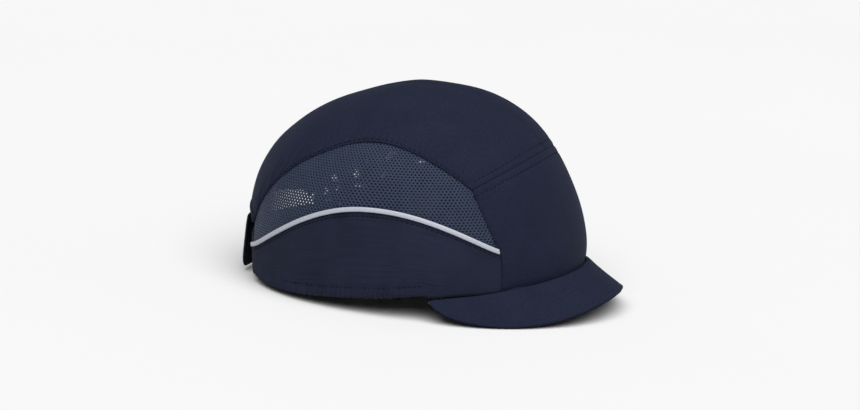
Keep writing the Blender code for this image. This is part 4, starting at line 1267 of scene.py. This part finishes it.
class CapTrimSettings(bpy.types.PropertyGroup):
    """Sizes and colours of the trim and the inside."""

    piping_width: size("Piping width", "Visible width of the reflective piping", 0.0029)
    piping_colour: colour("Piping", "Colour of the reflective piping", (0.345, 0.365, 0.42))
    stitch_length: size("Stitch length", "Length of one stitch that shows", 0.0023)
    stitch_pitch: size("Stitch pitch", "Distance from stitch to stitch", 0.0031)
    thread_radius: size("Thread radius", "Half the thickness of the sewing thread", 0.00026)
    thread_colour: colour("Thread", "Colour of the sewing thread", (0.0045, 0.006, 0.014))
    tape_colour: colour("Seam tape", "Colour of the seam tape and bindings", (0.007, 0.009, 0.020))
    webbing_colour: colour("Webbing", "Colour of the closure's webbing", (0.0075, 0.0095, 0.021))
    black_colour: colour("Black textile", "Colour of elastic, towelling and pile", (0.006, 0.0063, 0.009))
    board_colour: colour("Peak board", "Colour of the board in the peak", (0.05, 0.05, 0.055))
    shell_colour: colour("Shell", "Colour of the impact shell", (0.014, 0.014, 0.016))
    foam_colour: colour("Foam", "Colour of the pads", (0.020, 0.020, 0.023))
    label_colour: colour("Label", "Colour of the blank label", (0.55, 0.55, 0.53))


class CapStageSettings(bpy.types.PropertyGroup):
    """The floor, the lights and the camera."""

    floor_colour: colour("Floor", "Colour of the floor", (0.69, 0.69, 0.69))
    surround: number("Surround", "Brightness of the white surround", 0.2)
    key_strength: number("Key light", "Strength of the broad overhead light", 4.3)
    key_spread: turned("Key spread", "How soft the overhead light is", 70)
    camera_turn: turned("Camera turn", "Turn from the wearer's right towards the front", 20.45)
    camera_rise: turned("Camera rise", "Rise above the hem plane", 13.0)
    camera_distance: size("Camera distance", "Distance from the middle of the hem", 1.596)
    lens: number("Lens", "Focal length in millimetres", 106.4)
    aim_right: turned("Aim right", "How far the camera looks right of the hem's middle", 0.31)
    aim_up: turned("Aim up", "How far the camera looks above the hem's middle", 1.37)


def broad_light(name, strength, spread, direction):
    """A very soft light from one direction, even over the whole floor."""
    data = bpy.data.lights.new(name, "SUN")
    data.energy = strength
    data.angle = spread
    obj = bpy.data.objects.new(name, data)
    back = np.array(direction, float) / np.linalg.norm(direction)
    right = np.cross([0, 0.01, 1.0], back)
    right /= np.linalg.norm(right)
    obj.matrix_world = Matrix(np.stack([right, np.cross(back, right), back], 1).tolist()).to_4x4()
    bpy.context.scene.collection.objects.link(obj)


def make_stage(stage):
    """A pale floor in a white surround, a broad light overhead, and the camera."""
    radius = 14.0
    turn = np.linspace(0, 2 * math.pi, 97)[:-1]
    rim = np.stack([radius * np.cos(turn), radius * np.sin(turn), np.zeros_like(turn)], -1)
    mesh = bpy.data.meshes.new("pale_floor")
    mesh.from_pydata(rim.tolist(), [], [list(range(len(rim)))])
    recipe = Recipe("pale_floor", stage.floor_colour, 0.9, specular_ior_level=0.1)
    recipe.mottle([recipe.noise(0.5, 2.0)], 0.995, 1.005)
    mesh.materials.append(recipe.material)
    floor = bpy.data.objects.new("pale_floor", mesh)
    bpy.context.scene.collection.objects.link(floor)

    world = bpy.data.worlds.new("surround")
    world.use_nodes = True
    world.node_tree.nodes["Background"].inputs["Color"].default_value = (1, 1, 1, 1)
    world.node_tree.nodes["Background"].inputs["Strength"].default_value = stage.surround
    bpy.context.scene.world = world
    bpy.context.scene.view_settings.view_transform = "Standard"
    broad_light("overhead", stage.key_strength, stage.key_spread, (-0.46, -0.22, 0.86))

    turn, rise = stage.camera_turn, stage.camera_rise
    back = np.array([-math.cos(turn) * math.cos(rise), -math.sin(turn) * math.cos(rise), math.sin(rise)])
    right = np.array([math.sin(turn), -math.cos(turn), 0])
    up = np.cross(back, right)
    look = -back + right * math.tan(stage.aim_right) + up * math.tan(stage.aim_up)
    look /= np.linalg.norm(look)
    side = np.cross(look, up)
    side /= np.linalg.norm(side)
    axes = np.stack([side, np.cross(side, look), -look])
    axes = stand(axes) - stand(np.zeros((1, 3)))
    data = bpy.data.cameras.new("camera")
    data.lens = stage.lens
    data.sensor_width = 36.0
    data.clip_end = 60.0
    camera = bpy.data.objects.new("camera", data)
    turned = Matrix(axes.T.tolist()).to_4x4()
    turned.translation = stand(back * stage.camera_distance).tolist()
    camera.matrix_world = turned
    bpy.context.scene.collection.objects.link(camera)
    bpy.context.scene.camera = camera


class BUMPCAP_OT_front_panel(bpy.types.Operator):
    """Make the front panel's cloth"""

    bl_idname = "bump_cap.front_panel"
    bl_label = "Front panel"

    def execute(self, context):
        make_front_panel(context.scene.cap_cloth)
        return {"FINISHED"}


class BUMPCAP_OT_crown_panels(bpy.types.Operator):
    """Make the two halves of the crown"""

    bl_idname = "bump_cap.crown_panels"
    bl_label = "Crown panels"

    def execute(self, context):
        make_crown_panels(context.scene.cap_cloth)
        return {"FINISHED"}


class BUMPCAP_OT_side_panels(bpy.types.Operator):
    """Make the side panels with their turned hems"""

    bl_idname = "bump_cap.side_panels"
    bl_label = "Side panels"

    def execute(self, context):
        make_side_panels(context.scene.cap_cloth)
        make_hem_facings()
        return {"FINISHED"}


class BUMPCAP_OT_mesh_panels(bpy.types.Operator):
    """Make the perforated mesh panels"""

    bl_idname = "bump_cap.mesh_panels"
    bl_label = "Mesh panels"

    def execute(self, context):
        make_mesh_panels(context.scene.cap_cloth)
        return {"FINISHED"}


class BUMPCAP_OT_piping(bpy.types.Operator):
    """Make the reflective piping"""

    bl_idname = "bump_cap.piping"
    bl_label = "Piping"

    def execute(self, context):
        make_piping(context.scene.cap_trim)
        return {"FINISHED"}


class BUMPCAP_OT_stitching(bpy.types.Operator):
    """Make the rows of stitches"""

    bl_idname = "bump_cap.stitching"
    bl_label = "Stitching"

    def execute(self, context):
        make_all_stitching(context.scene.cap_cloth, context.scene.cap_trim)
        return {"FINISHED"}


class BUMPCAP_OT_tapes(bpy.types.Operator):
    """Make the seam tapes, the arch binding and the hem elastics"""

    bl_idname = "bump_cap.tapes"
    bl_label = "Tapes and elastics"

    def execute(self, context):
        make_seam_tapes()
        make_arch_binding()
        make_hem_elastics()
        return {"FINISHED"}


class BUMPCAP_OT_peak(bpy.types.Operator):
    """Make the peak: its top cloth, board and under cloth"""

    bl_idname = "bump_cap.peak"
    bl_label = "Peak"

    def execute(self, context):
        make_peak()
        return {"FINISHED"}


class BUMPCAP_OT_sweatband(bpy.types.Operator):
    """Make the towelling sweatband"""

    bl_idname = "bump_cap.sweatband"
    bl_label = "Sweatband"

    def execute(self, context):
        make_sweatband()
        return {"FINISHED"}


class BUMPCAP_OT_shell(bpy.types.Operator):
    """Make the vented impact shell"""

    bl_idname = "bump_cap.shell"
    bl_label = "Impact shell"

    def execute(self, context):
        make_hard_shell()
        return {"FINISHED"}


class BUMPCAP_OT_pads(bpy.types.Operator):
    """Make the five foam pads"""

    bl_idname = "bump_cap.pads"
    bl_label = "Foam pads"

    def execute(self, context):
        make_pads()
        return {"FINISHED"}


class BUMPCAP_OT_closure(bpy.types.Operator):
    """Make the hook-and-loop closure at the rear"""

    bl_idname = "bump_cap.closure"
    bl_label = "Rear closure"

    def execute(self, context):
        make_closure()
        return {"FINISHED"}


class BUMPCAP_OT_stage(bpy.types.Operator):
    """Make the floor, the lights and the camera"""

    bl_idname = "bump_cap.stage"
    bl_label = "Stage"

    def execute(self, context):
        make_stage(context.scene.cap_stage)
        return {"FINISHED"}


STEPS = (
    BUMPCAP_OT_front_panel,
    BUMPCAP_OT_crown_panels,
    BUMPCAP_OT_side_panels,
    BUMPCAP_OT_mesh_panels,
    BUMPCAP_OT_piping,
    BUMPCAP_OT_stitching,
    BUMPCAP_OT_tapes,
    BUMPCAP_OT_peak,
    BUMPCAP_OT_sweatband,
    BUMPCAP_OT_shell,
    BUMPCAP_OT_pads,
    BUMPCAP_OT_closure,
    BUMPCAP_OT_stage,
)


class BUMPCAP_PT_panel(bpy.types.Panel):
    """Lists the cap's settings and the steps that make it."""

    bl_label = "Bump Cap"
    bl_idname = "BUMPCAP_PT_panel"
    bl_space_type = "VIEW_3D"
    bl_region_type = "UI"
    bl_category = "Bump Cap"

    def draw(self, context):
        for group in (context.scene.cap_cloth, context.scene.cap_trim, context.scene.cap_stage):
            box = self.layout.box()
            for key in group.bl_rna.properties.keys():
                if key not in ("rna_type", "name"):
                    box.prop(group, key)
        for step in STEPS:
            self.layout.operator(step.bl_idname)


SETTINGS = {"cap_cloth": CapClothSettings, "cap_trim": CapTrimSettings, "cap_stage": CapStageSettings}


def register():
    for made in (*SETTINGS.values(), *STEPS, BUMPCAP_PT_panel):
        bpy.utils.register_class(made)
    for key, group in SETTINGS.items():
        setattr(bpy.types.Scene, key, bpy.props.PointerProperty(type=group))


def unregister():
    for key in SETTINGS:
        delattr(bpy.types.Scene, key)
    for made in reversed((*SETTINGS.values(), *STEPS, BUMPCAP_PT_panel)):
        bpy.utils.unregister_class(made)


def main():
    register()
    for step in STEPS:
        family, verb = step.bl_idname.split(".")
        getattr(getattr(bpy.ops, family), verb)()


if __name__ == "__main__":
    main()
